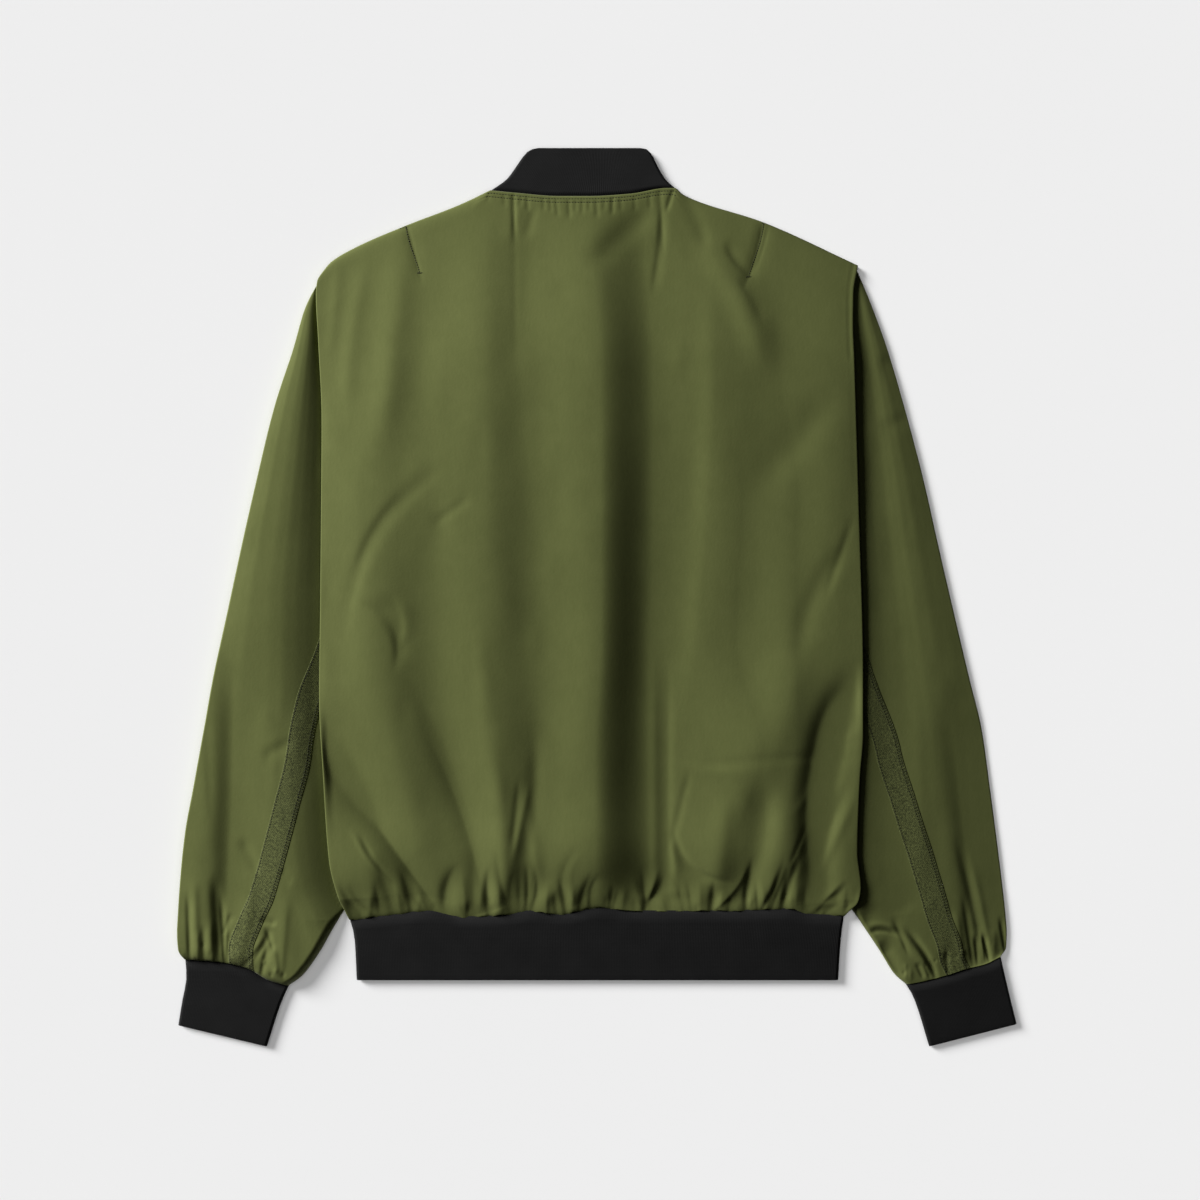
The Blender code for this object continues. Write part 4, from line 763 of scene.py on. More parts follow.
def front_plan(side):
    """The outline of a front panel, filled: s runs from its side to the zip, t from hem to top."""
    y = np.array(FRONT_SIDE_Y + (side.edge[-1][1],), float)
    y[0] = side.edge[0][1]
    (start, first), (end, last), more = FRONT_INSET
    inset = SEAM + (ARMHOLE_INSET + more) * ease((y - start) / first) * ease((end - y) / last)
    outer = np.column_stack([edge_x(side.edge, y) - side.out * inset, y])
    centre = ZIP_X + side.out * ZIP_EDGE
    (x0, y0), (x1, y1) = BAND_UNDER
    slope = (y1 - y0) / (x1 - x0)
    hem = [(x, y0 + (x - x0) * slope + FRONT_GAP_SHARE * SEAM) for x in (outer[0, 0], centre)]
    outer[0] = hem[0]
    top_seam = np.array(side.shoulder[:: -side.out], float)
    top_seam[0] = outer[-1]
    top = chain(path(top_seam), path(side.neckline), FRONT_NECK)
    return patch(path(hem), top, path(outer), path((hem[1], side.neckline[-1])))


def front_point(side):
    """A front panel's outer face, with soft creases; s and t are its plan's."""
    plan = front_plan(side)
    low, high = sorted(side.out * x for x in FRONT_SPAN)
    soft = dents(10 + side.seed, 130, (low, -270, high, 330), (5, 16), 0.8)

    by_side, by_zip, by_hem, by_top = FRONT_MARGIN

    def at(s, t):
        x, y = plan(s, t).T
        dent = np.maximum(soft(x, y) - FRONT_CREASE, 0) * ease(s / by_side) * ease((1 - s) / by_zip)
        dent = dent * ease(t / by_hem) * ease((1 - t) / by_top)
        return np.column_stack([x, y, front_lift(side, x, y) + dent])

    return at


# Sleeves ---------------------------------------------------------------------------------------


def on_rings(values, k):
    """Values that are given for each ring of a sleeve, read at k from 0 to 1."""
    return blend(np.arange(LAST_RING + 1), values, np.asarray(k, float) * LAST_RING)


def between_folds(ring, w):
    """x, y at a share w from a ring's outer fold to its inner one, straight across."""
    outer_x, outer_y, inner_x, inner_y = ring
    return outer_x + w * (inner_x - outer_x), outer_y + w * (inner_y - outer_y)


def sleeve_plan(side):
    """Places on a sleeve: share w across from its outer fold to its inner, ring k from 0 to 1."""
    table = np.array(side.sleeve, float)[:, :4]
    cuff = path(side.cuff_seam)

    def at(w, k):
        folds = [on_rings(column, k) for column in table.T]
        x, y = between_folds(folds, w)
        start_x, start_y = between_folds(table[0], w)
        end_x, end_y = between_folds(table[-1], w)
        cuff_x, cuff_y = cuff(w).T
        first = np.clip(1 - k * LAST_RING / END_RINGS, 0, 1) ** 2
        final = np.clip(1 - (LAST_RING - k * LAST_RING) / END_RINGS, 0, 1) ** 2
        armhole_x = edge_x(side.edge, start_y) - side.out * ARMHOLE_INSET
        x = x + first * (armhole_x - start_x) + final * (cuff_x - end_x)
        width = np.hypot(folds[2] - folds[0], folds[3] - folds[1])
        return x, y + final * (cuff_y - end_y), width

    return at


def sleeve_height(side):
    """The upper side of a sleeve: flat under the body, full beside it, gathered at the cuff.

    It gives x, y and the height, and how far each place is from the outer and the inner fold.
    """
    plan = sleeve_plan(side)
    low, high = sorted(side.out * x for x in SLEEVE_SPAN)
    soft = dents(20 + side.seed, 110, (low, -330, high, 260), (6, 16), 0.25)
    puckers = dents(21 + side.seed, 60, (low, -345, high, -300), (1.2, 2.6), 0.6)
    places, heights = np.array(side.cross, float).T
    outer_x, outer_y = np.array(side.sleeve[::-1], float).T[:2]
    share, most, less = side.flank
    narrow_from, narrow_run = SLEEVE_ENDS
    pucker_reach, pucker_fade = CUFF_PUCKERS

    def at(w, k):
        x, y, width = plan(w, k)
        cuff_x, cuff_y, _ = plan(w, np.ones_like(w))
        over = side.out * (x - edge_x(side.edge, y))
        below_hem = y < HEM_CORNER_Y
        beside = np.maximum(over, 0)
        beside = np.where(below_hem, np.hypot(beside, HEM_CORNER_Y - y), beside)
        show = ease((np.where(below_hem, beside, over) + VALLEY_UNDER) / VALLEY)
        reach = np.maximum(side.out * (blend(outer_y, outer_x, y) - edge_x(side.edge, y)), 3)
        flank = np.minimum(share * reach, most) * (1 - less * ease((narrow_from - y) / narrow_run))
        place = np.where(beside < flank, beside / flank, 1 + (beside - flank) / (reach - flank))
        full = blend(places, heights, np.clip(place, 0, 2)) - SLEEVE_FLAT
        full = full * (1 - np.exp(-reach / FULLNESS))
        to_cuff = np.hypot(x - cuff_x, y - cuff_y)
        fine = creases(side.folds, x, y, taper=0.3, gentle=1.5) + soft(x, y)
        fine += puckers(x, y) * ease((pucker_reach - to_cuff) / pucker_fade)
        height = SLEEVE_FLAT + full * show + fine * ease(beside / SLEEVE_MARGIN)
        end = CUFF_HEIGHT + CUFF_STEP
        height = end + (height - end) * quarter_round(to_cuff / CUFF_DIP)
        return x, y, height, w * width, (1 - w) * width

    return at


def sleeve_layers(side, height_at):
    """Both layers of a sleeve's outer face; below marks the places on the lower one."""
    soft = dents(30 + side.seed, 150, (-365, -330, 365, 260), (5, 14), 0.9)
    inner_mid = SLEEVE_FLAT / 2

    def at(w, k, below):
        x, y, top, from_outer, from_inner = height_at(w, k)
        outer_mid = np.maximum(np.minimum(SLEEVE_FOLD_Z, top / 2), top - SLEEVE_FOLD_DROP)
        outer_round = quarter_round(from_outer / SLEEVE_ROUND)
        tall = np.clip(top - inner_mid, inner_mid, SLEEVE_INNER_ROUND)
        upper = outer_mid + (top - outer_mid) * outer_round
        upper = inner_mid + (upper - inner_mid) * quarter_round(from_inner / tall)
        lower = outer_mid * (1 - quarter_round(from_outer / SLEEVE_UNDER))
        lower = lower + inner_mid * (1 - quarter_round(from_inner / inner_mid))
        from_fold = np.minimum(from_outer, from_inner)
        dent = np.maximum(soft(x, y) - SLEEVE_CREASE, 0) * ease(from_fold / SLEEVE_CREASE_MARGIN)
        lower = np.minimum(lower + dent, np.maximum(upper - SLEEVE_WALLS, 0))
        return np.column_stack([x, y, np.where(below, lower, upper)])

    return at


def seam_share(side, k):
    """Share across a sleeve at which its taped seam runs."""
    return on_rings(np.array(side.sleeve, float)[:, 4], k)


def ring_width(side, k):
    """Width across a sleeve, from fold to fold."""
    table = np.array(side.sleeve, float)
    return on_rings(np.hypot(*(table[:, 2:4] - table[:, :2]).T), k)


def sleeve_piece(side, layers, fold):
    """The outer face of one of a sleeve's two pieces, round its outer (0) or inner (1) fold.

    a runs from the taped seam (1) round the fold (0) to the hidden seam (-1).
    """
    toward = 1 - 2 * fold

    def at(a, k):
        to_seam = np.abs(seam_share(side, k) - fold)
        gap = SEAM_GAP / ring_width(side, k)
        upper = a * (to_seam - gap)
        lower = -a * (abs(LOWER_SEAM - fold) - gap)
        below = a < 0
        return layers(fold + toward * np.where(below, lower, upper), k, below)

    return at


def tape_point(side, height_at):
    """Tape over the upper seam: a runs across it, from -1 to 1, and k along the sleeve."""
    ripple = dents(40 + side.seed, 130, (-365, -335, 365, 60), (3, 8), 0.55)

    def at(a, k):
        share = seam_share(side, k) + a * TAPE_WIDTH / 2 / ring_width(side, k)
        x, y, top, _, _ = height_at(share, k)
        inset = (1 - np.abs(a)) * TAPE_WIDTH / 2
        lift = TAPE_LIFT + np.maximum(ripple(x, y), 0) * ease(inset / TAPE_RIPPLE_EDGE)
        row = bell(inset - TAPE_ROW_INSET, TAPE_PUFF_HALF)
        lift = lift + TAPE_PUFF * (1 - row) * ease(inset / TAPE_EDGE)
        return np.column_stack([x, y, top + lift])

    return at


# Knit pieces -----------------------------------------------------------------------------------


def groove(run):
    """Depth of the furrows between ribs, at each place along the knit's edge."""
    return RIB_DEPTH * (0.5 - 0.5 * np.cos(2 * np.pi * run / RIB_PITCH)) ** RIB_POWER


def folded_edge(distance):
    """How much of its half height a knit tube keeps near a folded edge."""
    return KNIT_EDGE_SHARE + (1 - KNIT_EDGE_SHARE) * quarter_round(distance / KNIT_EDGE)


def cuff_point(side):
    """Both layers of a cuff: a runs 0 to 1 over the upper layer, 1 to 2 back below."""
    lines = side.cuff_seam, side.cuff_outer, side.cuff_inner
    seam, outer, inner = ([(x, y - SEAM) for x, y in line] for line in lines)
    plan = patch(path(seam), path((outer[-1], inner[-1])), path(outer), path(inner))
    half = CUFF_HEIGHT / 2

    def at(a, t):
        below = a > 1
        s = np.where(below, 2 - a, a)
        width = np.hypot(*(plan(np.ones_like(s), t) - plan(np.zeros_like(s), t)).T)
        edge = quarter_round(np.minimum(s, 1 - s) * width / half)
        tall = half * folded_edge((1 - t) * CUFF_LENGTH) - groove(a * CUFF_WIDTH)
        return np.column_stack([plan(s, t), half + np.where(below, -1, 1) * tall * edge])

    return at


def band_point(a, t):
    """The hem band: a runs from the zip under the left half, over the back, and back to the zip."""
    seam = path([(x, y - SEAM) for x, y in HEM])
    sides = path(BAND_BOTTOM), path(BAND_LEFT), path(BAND_RIGHT)
    below = (a < 0) | (a > 1)
    s = np.where(a < 0, -a, np.where(a > 1, 2 - a, a))
    under = patch(path(BAND_UNDER), *sides)(s, t)
    place = np.where(below[:, None], under, patch(seam, *sides)(s, t))
    half = BAND_HEIGHT / 2
    edge = quarter_round(np.minimum(s, 1 - s) * BAND_WIDTH / half)
    tall = half * folded_edge((1 - t) * BAND_LENGTH) - groove(a * BAND_WIDTH)
    return np.column_stack([place, half + np.where(below, -1, 1) * tall * edge])


def collar_front(side, fold, top):
    """One end of the collar, under the back: s runs from its fold to the zip, t from the seam."""
    neckline = [(x - side.out * SEAM, y + SEAM) for x, y in side.neckline]
    end = neckline[-1]
    corner = (end[0], COLLAR_END_Y)
    return patch(path(neckline), path((*top, corner)), path(fold), path((end, corner)))


def collar_point(a, t):
    """The collar: a runs from the zip to the left fold (1), over the neck to the right (2), on."""
    seam = [(x, y + SEAM) for x, y in NECK]
    seam[0], seam[-1] = COLLAR_LEFT[0], COLLAR_RIGHT[0]
    back = patch(path(seam), path(COLLAR_TOP), path(COLLAR_LEFT), path(COLLAR_RIGHT))
    left = collar_front(LEFT, COLLAR_LEFT, COLLAR_OPEN_LEFT)
    right = collar_front(RIGHT, COLLAR_RIGHT, COLLAR_OPEN_RIGHT)
    over = (a >= 1) & (a <= 2)
    place = np.where((a < 1)[:, None], left(1 - np.clip(a, 0, 1), t), right(np.clip(a - 2, 0, 1), t))
    place = np.where(over[:, None], back(np.clip(a - 1, 0, 1), t), place)
    half = COLLAR_HEIGHT / 2
    more, slant = COLLAR_SLANT
    top = COLLAR_HEIGHT + more - slant * t
    from_fold = np.minimum(np.abs(a - 1), np.abs(a - 2)) * COLLAR_RUN
    rib = groove(a * COLLAR_RUN)
    kept = folded_edge((1 - t) * COLLAR_LENGTH)
    height = np.where(over, (top - half) * kept - rib, (rib - half) * kept)
    return np.column_stack([place, half + height * quarter_round(from_fold / half)])


# Finishes ----------------------------------------------------------------------------------------


class Finish:
    """A material that is put together from shader nodes."""

    def __init__(self, name):
        self.material = bpy.data.materials.new(name)
        self.material.use_nodes = True
        self.tree = self.material.node_tree
        self.shader = self.tree.nodes["Principled BSDF"]
        self.place = self.add("ShaderNodeTexCoord").outputs["Object"]

    def add(self, kind, inputs=None, **settings):
        """A node with its settings, and its inputs set to numbers or joined to outputs."""
        made = self.tree.nodes.new(kind)
        for name, value in settings.items():
            setattr(made, name, value)
        self.join(made, inputs or {})
        return made

    def join(self, node, inputs):
        """Sets a node's inputs, by name or number, to values, or joins them to outputs."""
        for name, value in inputs.items():
            if isinstance(value, bpy.types.NodeSocket):
                self.tree.links.new(value, node.inputs[name])
            else:
                node.inputs[name].default_value = value

    def turned(self, degrees, stretch=(1, 1, 1)):
        """The object's own coordinates, turned about Z and stretched."""
        turn = (0, 0, np.radians(degrees))
        node = self.add("ShaderNodeMapping", {"Vector": self.place, "Rotation": turn, "Scale": stretch})
        return node.outputs["Vector"]

    def noise(self, scale, detail=3.0, vector=None):
        """Even noise from 0 to 1, finer with a larger scale."""
        inputs = {"Vector": vector or self.place, "Scale": scale, "Detail": detail}
        return self.add("ShaderNodeTexNoise", inputs).outputs["Fac"]

    def threads(self, pitch, degrees=0.0, distortion=0.0):
        """Even ridges across X, a pitch apart in millimetres."""
        scale = 2 * np.pi / 20 / (pitch * MM)
        inputs = {"Vector": self.turned(degrees), "Scale": scale, "Distortion": distortion}
        node = self.add("ShaderNodeTexWave", inputs, wave_type="BANDS", bands_direction="X")
        return node.outputs["Fac"]

    def maths(self, operation, first, second):
        return self.add("ShaderNodeMath", {0: first, 1: second}, operation=operation).outputs[0]

    def mixed(self, share, first, second):
        """A colour between two, by a share."""
        inputs = {0: share, 6: (*first, 1), 7: (*second, 1)}
        return self.add("ShaderNodeMix", inputs, data_type="RGBA").outputs[2]

    def dyed(self, noise, first, second):
        """A colour that wanders between two as a noise does."""
        return self.mixed(self.spread(noise, 0, 1), first, second)

    def spread(self, value, low, high):
        """A 0 to 1 value stretched from low to high."""
        inputs = {"Value": value, "From Min": 0.3, "From Max": 0.7, "To Min": low, "To Max": high}
        return self.add("ShaderNodeMapRange", inputs).outputs["Result"]

    def relief(self, height, distance, strength=1.0):
        """Joins a height to the shader's normal; the distance is in millimetres."""
        inputs = {"Height": height, "Distance": distance * MM, "Strength": strength}
        bump = self.add("ShaderNodeBump", inputs)
        self.join(self.shader, {"Normal": bump.outputs["Normal"]})

    def surface(self, **values):
        """Sets the shader's own sockets; an underscore in a name stands for a space."""
        self.join(self.shader, {name.replace("_", " "): value for name, value in values.items()})


def satin():
    """Olive satin nylon: a fine bright warp over the weft, a soft sheen and a mottled dye."""
    cloth = Finish("satin_nylon")
    warp = cloth.threads(0.42)
    weft = cloth.threads(0.55, 90.0)
    weave = cloth.maths("ADD", warp, cloth.maths("MULTIPLY", weft, 0.6))
    mottle = cloth.noise(60.0, 4.0)
    slubs = cloth.noise(420.0, 2.0, cloth.turned(0, (1, 0.25, 1)))
    tone = cloth.maths("ADD", cloth.maths("MULTIPLY", mottle, 0.5), cloth.maths("MULTIPLY", slubs, 0.5))
    colour = cloth.dyed(tone, (0.111, 0.126, 0.041), (0.123, 0.138, 0.046))
    cloth.surface(
        Base_Color=colour,
        Roughness=cloth.spread(mottle, 0.52, 0.58),
        Metallic=0.03,
        IOR=1.14,
        Specular_IOR_Level=0.3,
        Sheen_Weight=0.15,
        Sheen_Roughness=0.4,
    )
    crinkle = cloth.noise(520.0, 3.0)
    cloth.relief(cloth.maths("ADD", cloth.maths("MULTIPLY", weave, 0.25), crinkle), 0.14, 0.42)
    return cloth.material


def twill():
    """Matt olive tape with a diagonal twill and a coarse grain."""
    cloth = Finish("twill_tape")
    ridges = cloth.threads(1.1, 52.0, 0.6)
    grain = cloth.noise(900.0, 2.0)
    speckle = cloth.maths("ADD", cloth.maths("MULTIPLY", ridges, 0.4), grain)
    colour = cloth.dyed(grain, (0.030, 0.035, 0.011), (0.128, 0.144, 0.047))
    cloth.surface(
        Base_Color=colour, Roughness=0.85, Specular_IOR_Level=0.15, Sheen_Weight=0.05, Sheen_Roughness=0.5
    )
    cloth.relief(speckle, 0.25, 0.7)
    return cloth.material


def rib():
    """Black rib knit: loops along each rib, and a soft nap."""
    knit = Finish("rib_knit")
    loops = knit.threads(1.1, 90.0, 1.5)
    nap = knit.noise(1400.0, 2.0)
    height = knit.maths("ADD", knit.maths("MULTIPLY", loops, 0.6), nap)
    cloudy = knit.noise(45.0, 4.0)
    colour = knit.dyed(cloudy, (0.0085, 0.0085, 0.0085), (0.0115, 0.0115, 0.0115))
    knit.surface(
        Base_Color=colour, Roughness=0.95, Specular_IOR_Level=0.12, Sheen_Weight=0.03, Sheen_Roughness=0.6
    )
    knit.relief(height, 0.22, 0.6)
    return knit.material


def zip_weave():
    """Black woven zip tape with a herringbone rib."""
    tape = Finish("zip_weave")
    ridges = tape.maths("ADD", tape.threads(0.9, 45.0), tape.threads(0.9, -45.0))
    colour = tape.dyed(tape.noise(700.0), (0.010, 0.010, 0.010), (0.02, 0.02, 0.019))
    tape.surface(Base_Color=colour, Roughness=0.72, Specular_IOR_Level=0.3)
    tape.relief(ridges, 0.15, 0.6)
    return tape.material


def gunmetal():
    """Dark plated metal with fine scratches and rubbed patches."""
    metal = Finish("gunmetal")
    scratches = metal.noise(500.0, 3.0, metal.turned(20, (1, 14, 1)))
    rubbed = metal.noise(260.0, 4.0)
    colour = metal.dyed(rubbed, (0.13, 0.13, 0.126), (0.25, 0.245, 0.235))
    metal.surface(Base_Color=colour, Metallic=1.0, Roughness=metal.spread(scratches, 0.28, 0.46))
    metal.relief(scratches, 0.03, 0.5)
    return metal.material


def thread():
    """Olive sewing thread, twisted; its dark colour is partly the thread's own and partly painted shade of
    the stitch holes.
    """
    spun = Finish("thread")
    twist = spun.threads(0.3, 35.0)
    # painted shade: the thread is made far darker than the cloth, to stand for the shade in the holes it
    # is sewn through
    colour = spun.mixed(twist, (0.012, 0.014, 0.005), (0.026, 0.030, 0.010))
    spun.surface(Base_Color=colour, Roughness=0.7, Specular_IOR_Level=0.3)
    spun.relief(twist, 0.05, 0.6)
    return spun.material


def pale_floor():
    """A plain near-white surface."""
    floor = Finish("pale_floor")
    shade = floor.dyed(floor.noise(3.0), (0.80, 0.80, 0.80), (0.805, 0.805, 0.805))
    floor.surface(Base_Color=shade, Roughness=0.9, Specular_IOR_Level=0.1)
    return floor.material


# Building ----------------------------------------------------------------------------------------


def add(name, mesh, finish):
    """A named object from a bmesh, with its finish."""
    data = bpy.data.meshes.new(name)
    mesh.to_mesh(data)
    mesh.free()
    data.materials.append(finish)
    data.shade_smooth()
    made = bpy.data.objects.new(name, data)
    bpy.context.scene.collection.objects.link(made)
    return made


def wall(name, place, across, along, thick, finish, turned=False, closed=False, rim_only=False):
    """A cloth wall: a grid put in place by a function of two numbers, then thickened inwards."""
    across, along = np.asarray(across, float), np.asarray(along, float)
    columns, rows = len(across) - 1, len(along) - 1
    mesh = bmesh.new()
    bmesh.ops.create_grid(mesh, x_segments=columns, y_segments=rows, size=1)
    flat = (np.array([vert.co for vert in mesh.verts]) + 1) / 2
    column = np.rint(flat[:, 0] * columns).astype(int)
    row = np.rint(flat[:, 1] * rows).astype(int)
    for vert, point in zip(mesh.verts, place(across[column], along[row]) * MM):
        vert.co = point
    if closed:
        bmesh.ops.remove_doubles(mesh, verts=mesh.verts, dist=1e-6)
    if turned:
        bmesh.ops.reverse_faces(mesh, faces=mesh.faces)
    made = add(name, mesh, finish)
    thicken = made.modifiers.new("wall", "SOLIDIFY")
    thicken.thickness = thick * MM
    thicken.offset = -1
    thicken.use_rim_only = rim_only
    return made


def spaced(*stretches):
    """Places along one direction, from stretches of (start, end, steps)."""
    runs = [np.linspace(start, end, steps, endpoint=False) for start, end, steps in stretches]
    return np.concatenate([*runs, [stretches[-1][1]]])


def declare(piece, node):
    """Says what a sheet rides on, and hides the node that it stands for."""
    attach(piece, "jacket")
    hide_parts(node)


def fixed(piece):
    """Says that a small piece with no node of its own rides on the jacket."""
    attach(piece, "jacket")


def build_back(cloth):
    """The back panel, in steps that are close together at its edges and over the gathers."""
    edge = np.array(EDGE_STEPS) / BACK_WIDTH
    across = np.concatenate([edge, spaced(FLAT_STEPS), 1 - edge[::-1]])
    from_hem = np.concatenate([[-TURNED_ENDS], spaced(*HEM_STEPS), [BACK_LENGTH + TURNED_ENDS]])
    back = wall("back_cloth", back_point, across, from_hem / BACK_LENGTH, CLOTH, cloth, rim_only=True)
    declare(back, "back")


def build_front(side, cloth):
    across = spaced((0, 0.15, 14), (0.15, FRONT_NECK, 36), (FRONT_NECK, 1, 34))
    along = spaced((0, 0.06, 8), (0.06, 0.94, 120), (0.94, 1, 8))
    front = wall(
        "front_cloth_" + side.name, front_point(side), across, along, FRONT_CLOTH, cloth,
        turned=side is LEFT,
    )
    declare(front, "front_" + side.name)


def build_sleeve(side, cloth, tape):
    """A sleeve's top and under pieces, and the tape over the seam between them."""
    height_at = sleeve_height(side)
    layers = sleeve_layers(side, height_at)
    below = -spaced((0, 0.01, 4), (0.01, 0.06, 5), (0.06, 1, 34))[1:]
    above = spaced((0, 0.02, 6), (0.02, 0.1, 9), (0.1, 1, 84))
    around = np.concatenate([above[::-1], below])
    rings = spaced((0, 2, 28), (2, 11, 110), (11, LAST_RING, 92)) / LAST_RING
    top = wall(
        "sleeve_top_cloth_" + side.name, sleeve_piece(side, layers, 0), around, rings, CLOTH, cloth,
        turned=side is RIGHT, rim_only=True,
    )
    declare(top, "sleeve_top_" + side.name)
    under = wall(
        "sleeve_under_cloth_" + side.name, sleeve_piece(side, layers, 1), around, rings, CLOTH, cloth,
        turned=side is LEFT, rim_only=True,
    )
    declare(under, "sleeve_under_" + side.name)
    strip = wall(
        "twill_tape_" + side.name, tape_point(side, height_at),
        spaced((-1, -0.7, 7), (-0.7, 0.7, 12), (0.7, 1, 7)),
        spaced((TAPE_FROM, TAPE_TO, 260)) / LAST_RING, TAPE, tape, turned=side is LEFT,
    )
    declare(
        strip, "tape_" + side.name,
    )


def ribbed(start, end, run):
    """Places from start to end with a few columns for each rib; run is the length of one unit."""
    steps = int(round(abs(end - start) * run / RIB_PITCH * RIB_STEPS))
    return spaced((start, end, steps))


def to_fold(share, steps, length):
    """Places from a knit piece's seam to its folded edge, close together at the fold."""
    return np.concatenate([spaced((0, share, steps)), 1 - np.array(KNIT_EDGE_STEPS) / length])


def build_knit(knit):
    """The hem band, the collar and the cuffs."""
    to_left_end = (BAND_WIDTH / 2 + ZIP_X - ZIP_EDGE) / BAND_WIDTH
    to_right_end = (BAND_WIDTH / 2 - ZIP_X - ZIP_EDGE) / BAND_WIDTH
    around = ribbed(-to_left_end, 1 + to_right_end, BAND_WIDTH)
    rows = to_fold(0.92, 5, BAND_LENGTH)
    band = wall("hem_band_knit", band_point, around, rows, KNIT, knit, turned=True)
    declare(band, "hem_band")

    rows = to_fold(0.9, 8, COLLAR_LENGTH)
    collar = wall("collar_knit", collar_point, ribbed(0, 3, COLLAR_RUN), rows, KNIT, knit)
    declare(collar, "collar")

    rows = to_fold(0.92, 6, CUFF_LENGTH)
    for side in (LEFT, RIGHT):
        cuff = wall(
            "cuff_knit_" + side.name, cuff_point(side), ribbed(0, 2, CUFF_WIDTH), rows, KNIT, knit,
            turned=side is LEFT, closed=True,
        )
        declare(cuff, "cuff_" + side.name)


def zip_tape_point(side):
    """One side of the zip: s runs out from its teeth, t up the front."""

    def at(s, t):
        x = ZIP_X + side.out * (ZIP_TEETH + s * ZIP_TAPE_WIDTH)
        y = ZIP_BOTTOM + t * (ZIP_TOP - ZIP_BOTTOM)
        return np.column_stack([x, y, zip_rise(y) + ZIP_TAPE_LIFT + ZIP_TAPE])

    return at


def zip_teeth(metal):
    """Teeth on either side in turn, but for those that the slider covers."""
    mesh = bmesh.new()
    first, last = TOOTH_ENDS
    size = Matrix.Diagonal((*(length * MM for length in TOOTH), 1))
    for y in np.arange(ZIP_BOTTOM + first, ZIP_TOP - last, TOOTH_PITCH):
        if abs(y - SLIDER_Y) <= SLIDER_ROOM:
            continue
        z = float(zip_rise(y)) + ZIP_TAPE_LIFT
        for out, shift in ((-1, 0), (1, TOOTH_PITCH / 2)):
            centre = Vector((ZIP_X + out * TOOTH_OUT, y + shift, z)) * MM
            bmesh.ops.create_cube(mesh, size=1, matrix=Matrix.Translation(centre) @ size)
    bmesh.ops.bevel(
        mesh, geom=mesh.edges[:], offset=TOOTH_BEVEL * MM, segments=1, profile=0.5, affect="EDGES",
        material=-1,
    )
    teeth = add("zip_teeth", mesh, metal)
    teeth.data.shade_flat()
    return teeth


def build_zip(weave, metal):
    """The zip's tapes and teeth; its slider and pull tab are the part's own, in metal."""
    for side in (LEFT, RIGHT):
        strip = wall(
            "zip_weave_" + side.name, zip_tape_point(side), spaced((0, 1, 12)), spaced((0, 1, 120)),
            ZIP_TAPE, weave, turned=side is LEFT,
        )
        declare(strip, "zip_tape_" + side.name)
    fixed(zip_teeth(metal))
    for node in ("zip_slider", "zip_pull"):
        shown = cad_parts[node]
        shown.data.materials.clear()
        shown.data.materials.append(metal)


# Sewing ------------------------------------------------------------------------------------------


def stitch_row(mesh, points, pitch=STITCH_PITCH):
    """Stitches at an even pitch along a line of points, each a short rounded thread."""
    points = np.asarray(points, float)
    run = np.concatenate([[0], np.cumsum(np.linalg.norm(np.diff(points, axis=0), axis=1))])
    count = max(int(run[-1] / pitch), 1)
    shape = Matrix.Diagonal((*(half * MM for half in STITCH), 1))
    for number in range(count):
        places = [(number + share) * run[-1] / count for share in STITCH_SHARES]
        start, end = (Vector([np.interp(at, run, line) for line in points.T]) for at in places)
        turn = (end - start).normalized().to_track_quat("X", "Z").to_matrix().to_4x4()
        centre = Matrix.Translation((start + end) / 2 * MM)
        bmesh.ops.create_uvsphere(mesh, u_segments=6, v_segments=4, radius=1, matrix=centre @ turn @ shape)


def on_back(line):
    """Points just over the back's outer face, above a line of x, y."""
    nudge = 0.01
    share = np.full((len(line), 2), 0.5)
    for _ in range(12):
        here = BACK_PLAN(*share.T)
        across = BACK_PLAN(share[:, 0] + nudge, share[:, 1]) - here
        up = BACK_PLAN(share[:, 0], share[:, 1] + nudge) - here
        miss = line - here
        area = across[:, 0] * up[:, 1] - across[:, 1] * up[:, 0]
        share[:, 0] += nudge * (miss[:, 0] * up[:, 1] - miss[:, 1] * up[:, 0]) / area
        share[:, 1] += nudge * (across[:, 0] * miss[:, 1] - across[:, 1] * miss[:, 0]) / area
        share = np.clip(share, 0.001, 0.998)
    return back_point(*share.T) + (0, 0, STITCH_LIFT)


def sew_neck(mesh):
    """Two rows of stitches below the collar's seam."""
    across = np.linspace(NECK_FROM - 0.004, NECK_TO + 0.004, 400)
    length = (BACK_TOP(across) - path(HEM)(across))[:, 1]
    for row in NECK_ROWS:
        stitch_row(mesh, back_point(across, 1 - row / length) + (0, 0, STITCH_LIFT))


def sew_dart(mesh, dart):
    """A row of stitches down a dart, with a bar tack at its foot."""
    x0, y0, x1, y1 = dart[:4]
    line = path(((x0, y0 + 10), (x0, y0), (x1, y1)))(np.linspace(0, 1, 60))
    stitch_row(mesh, on_back(line), DART_PITCH)
    for shift in TACKS:
        middle = np.array((x1 + shift, y1))
        stitch_row(mesh, on_back(np.array([middle - TACK, middle + TACK])), TACK_PITCH)


def sew_tape(mesh, side):
    """A row of stitches along each edge of a sleeve's tape, and a second one at its right."""
    point = tape_point(side, sleeve_height(side))
    k = np.linspace(TAPE_FROM, TAPE_TO, 500) / LAST_RING
    for way, inset in ((-1, TAPE_ROW_INSET), (1, TAPE_ROW_INSET), (-side.out, TAPE_SECOND_INSET)):
        across = way * (1 - inset / (TAPE_WIDTH / 2))
        stitch_row(mesh, point(np.full_like(k, across), k) + (0, 0, TAPE_STITCH_LIFT))


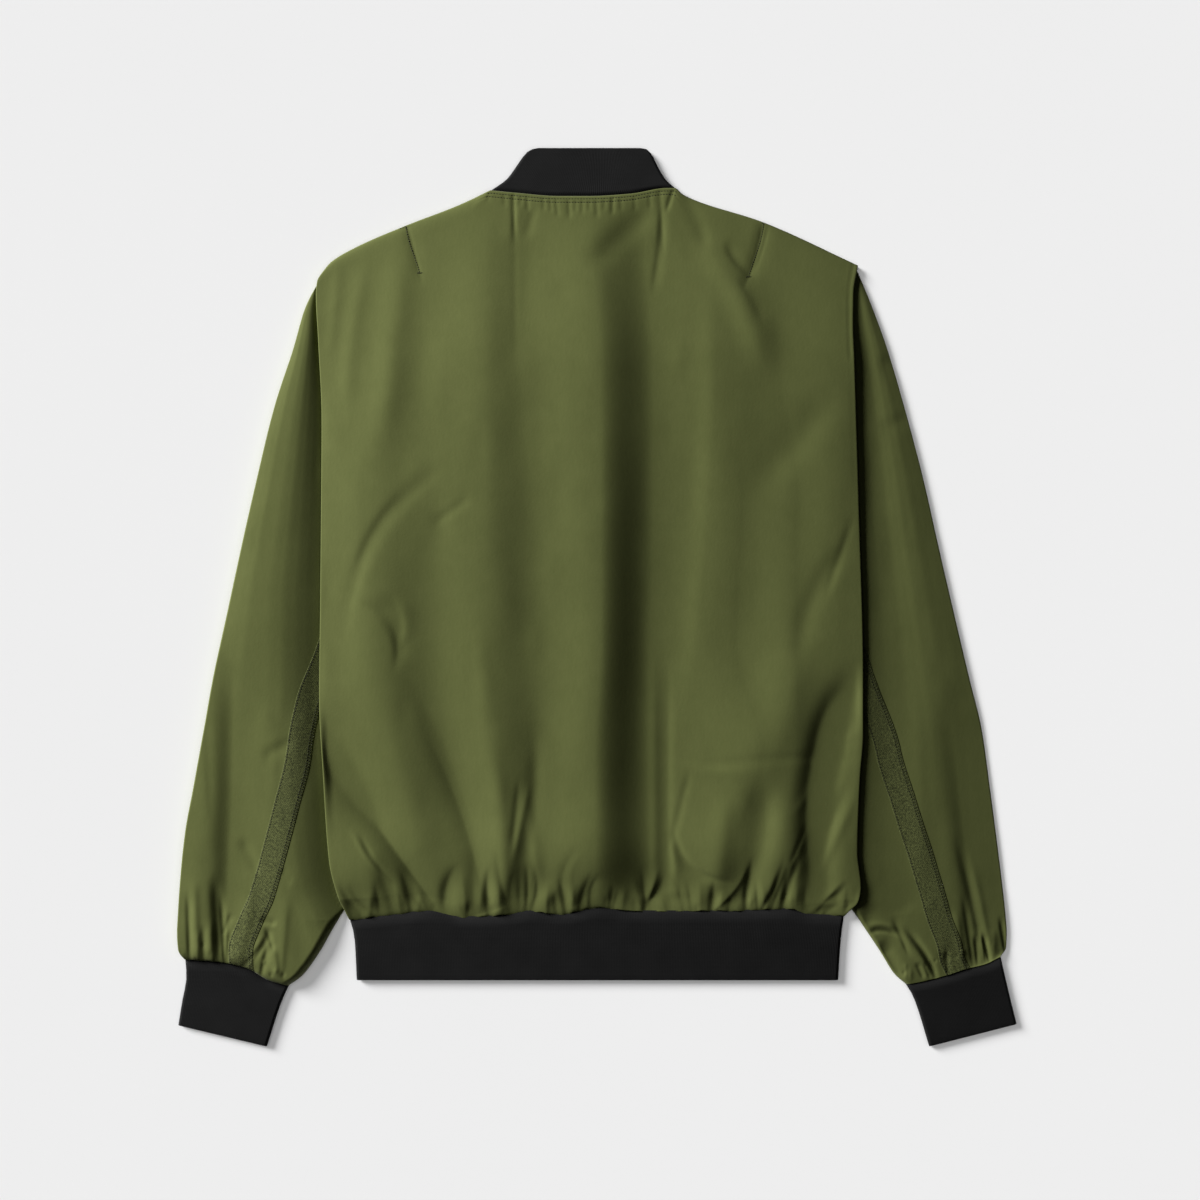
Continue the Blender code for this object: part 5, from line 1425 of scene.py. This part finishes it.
def build_sewing(spun):
    mesh = bmesh.new()
    sew_neck(mesh)
    for dart in DARTS[:4:2]:
        sew_dart(mesh, dart)
    fixed(add("neck_stitches", mesh, spun))
    for side in (LEFT, RIGHT):
        mesh = bmesh.new()
        sew_tape(mesh, side)
        fixed(add("tape_stitches_" + side.name, mesh, spun))


# View and light ----------------------------------------------------------------------------------


def make_camera():
    """A camera that looks straight down, from where its lens takes in the frame's side."""
    data = bpy.data.cameras.new("camera")
    data.lens = LENS
    data.sensor_width = SENSOR
    data.clip_end = CLIP_END
    camera = bpy.data.objects.new("camera", data)
    camera.location = (*VIEW_CENTRE, FRAME_SIDE * LENS / SENSOR)
    bpy.context.scene.collection.objects.link(camera)
    bpy.context.scene.camera = camera


def aimed(name, data, place):
    """A light at a place, which points at the middle of the floor."""
    made = bpy.data.objects.new(name, data)
    made.location = place
    made.rotation_euler = Vector(place).to_track_quat("Z", "Y").to_euler()
    bpy.context.scene.collection.objects.link(made)
    return made


def sun(name, place, strength, angle):
    """A far light that comes from a place's direction; its angle is its width in degrees."""
    data = bpy.data.lights.new(name, "SUN")
    data.energy = strength
    data.angle = np.radians(angle)
    return aimed(name, data, place)


def softbox(name, place, power, size):
    """A round soft light of a power in watts and a width in metres."""
    data = bpy.data.lights.new(name, "AREA")
    data.shape = "DISK"
    data.energy = power
    data.size = size
    return aimed(name, data, place)


def lights_only(light, name, pieces):
    """Keeps a light for some pieces, so that the floor stays even and pale."""
    group = bpy.data.collections.new(name)
    for piece in pieces:
        group.objects.link(piece)
    light.light_linking.receiver_collection = group


def make_stage():
    """A pale floor with two suns of its own, a soft light on the jacket, and a dim surround."""
    pieces = [piece for piece in bpy.context.scene.objects if piece.type == "MESH"]
    mesh = bmesh.new()
    bmesh.ops.create_grid(mesh, x_segments=1, y_segments=1, size=FLOOR_SIDE / 2)
    floor = add("floor", mesh, pale_floor())
    floor.location.z = -FLOOR_DROP
    lights_only(softbox("key", KEY_PLACE, KEY_POWER, KEY_SIZE), "jacket_light", pieces)
    lights_only(sun("floor_key", *FLOOR_KEY), "floor_key_light", [floor])
    lights_only(sun("floor_fill", *FLOOR_FILL), "floor_fill_light", [floor])
    world = bpy.data.worlds.new("studio")
    world.use_nodes = True
    world.node_tree.nodes["Background"].inputs["Color"].default_value = (AMBIENT,) * 3 + (1,)
    bpy.context.scene.world = world
    bpy.context.scene.view_settings.view_transform = "Standard"


def main():
    make_camera()
    cloth, tape, knit, metal = satin(), twill(), rib(), gunmetal()
    build_back(cloth)
    for side in (LEFT, RIGHT):
        build_front(side, cloth)
    for side in (LEFT, RIGHT):
        build_sleeve(side, cloth, tape)
    build_knit(knit)
    build_zip(zip_weave(), metal)
    build_sewing(thread())
    make_stage()


main()
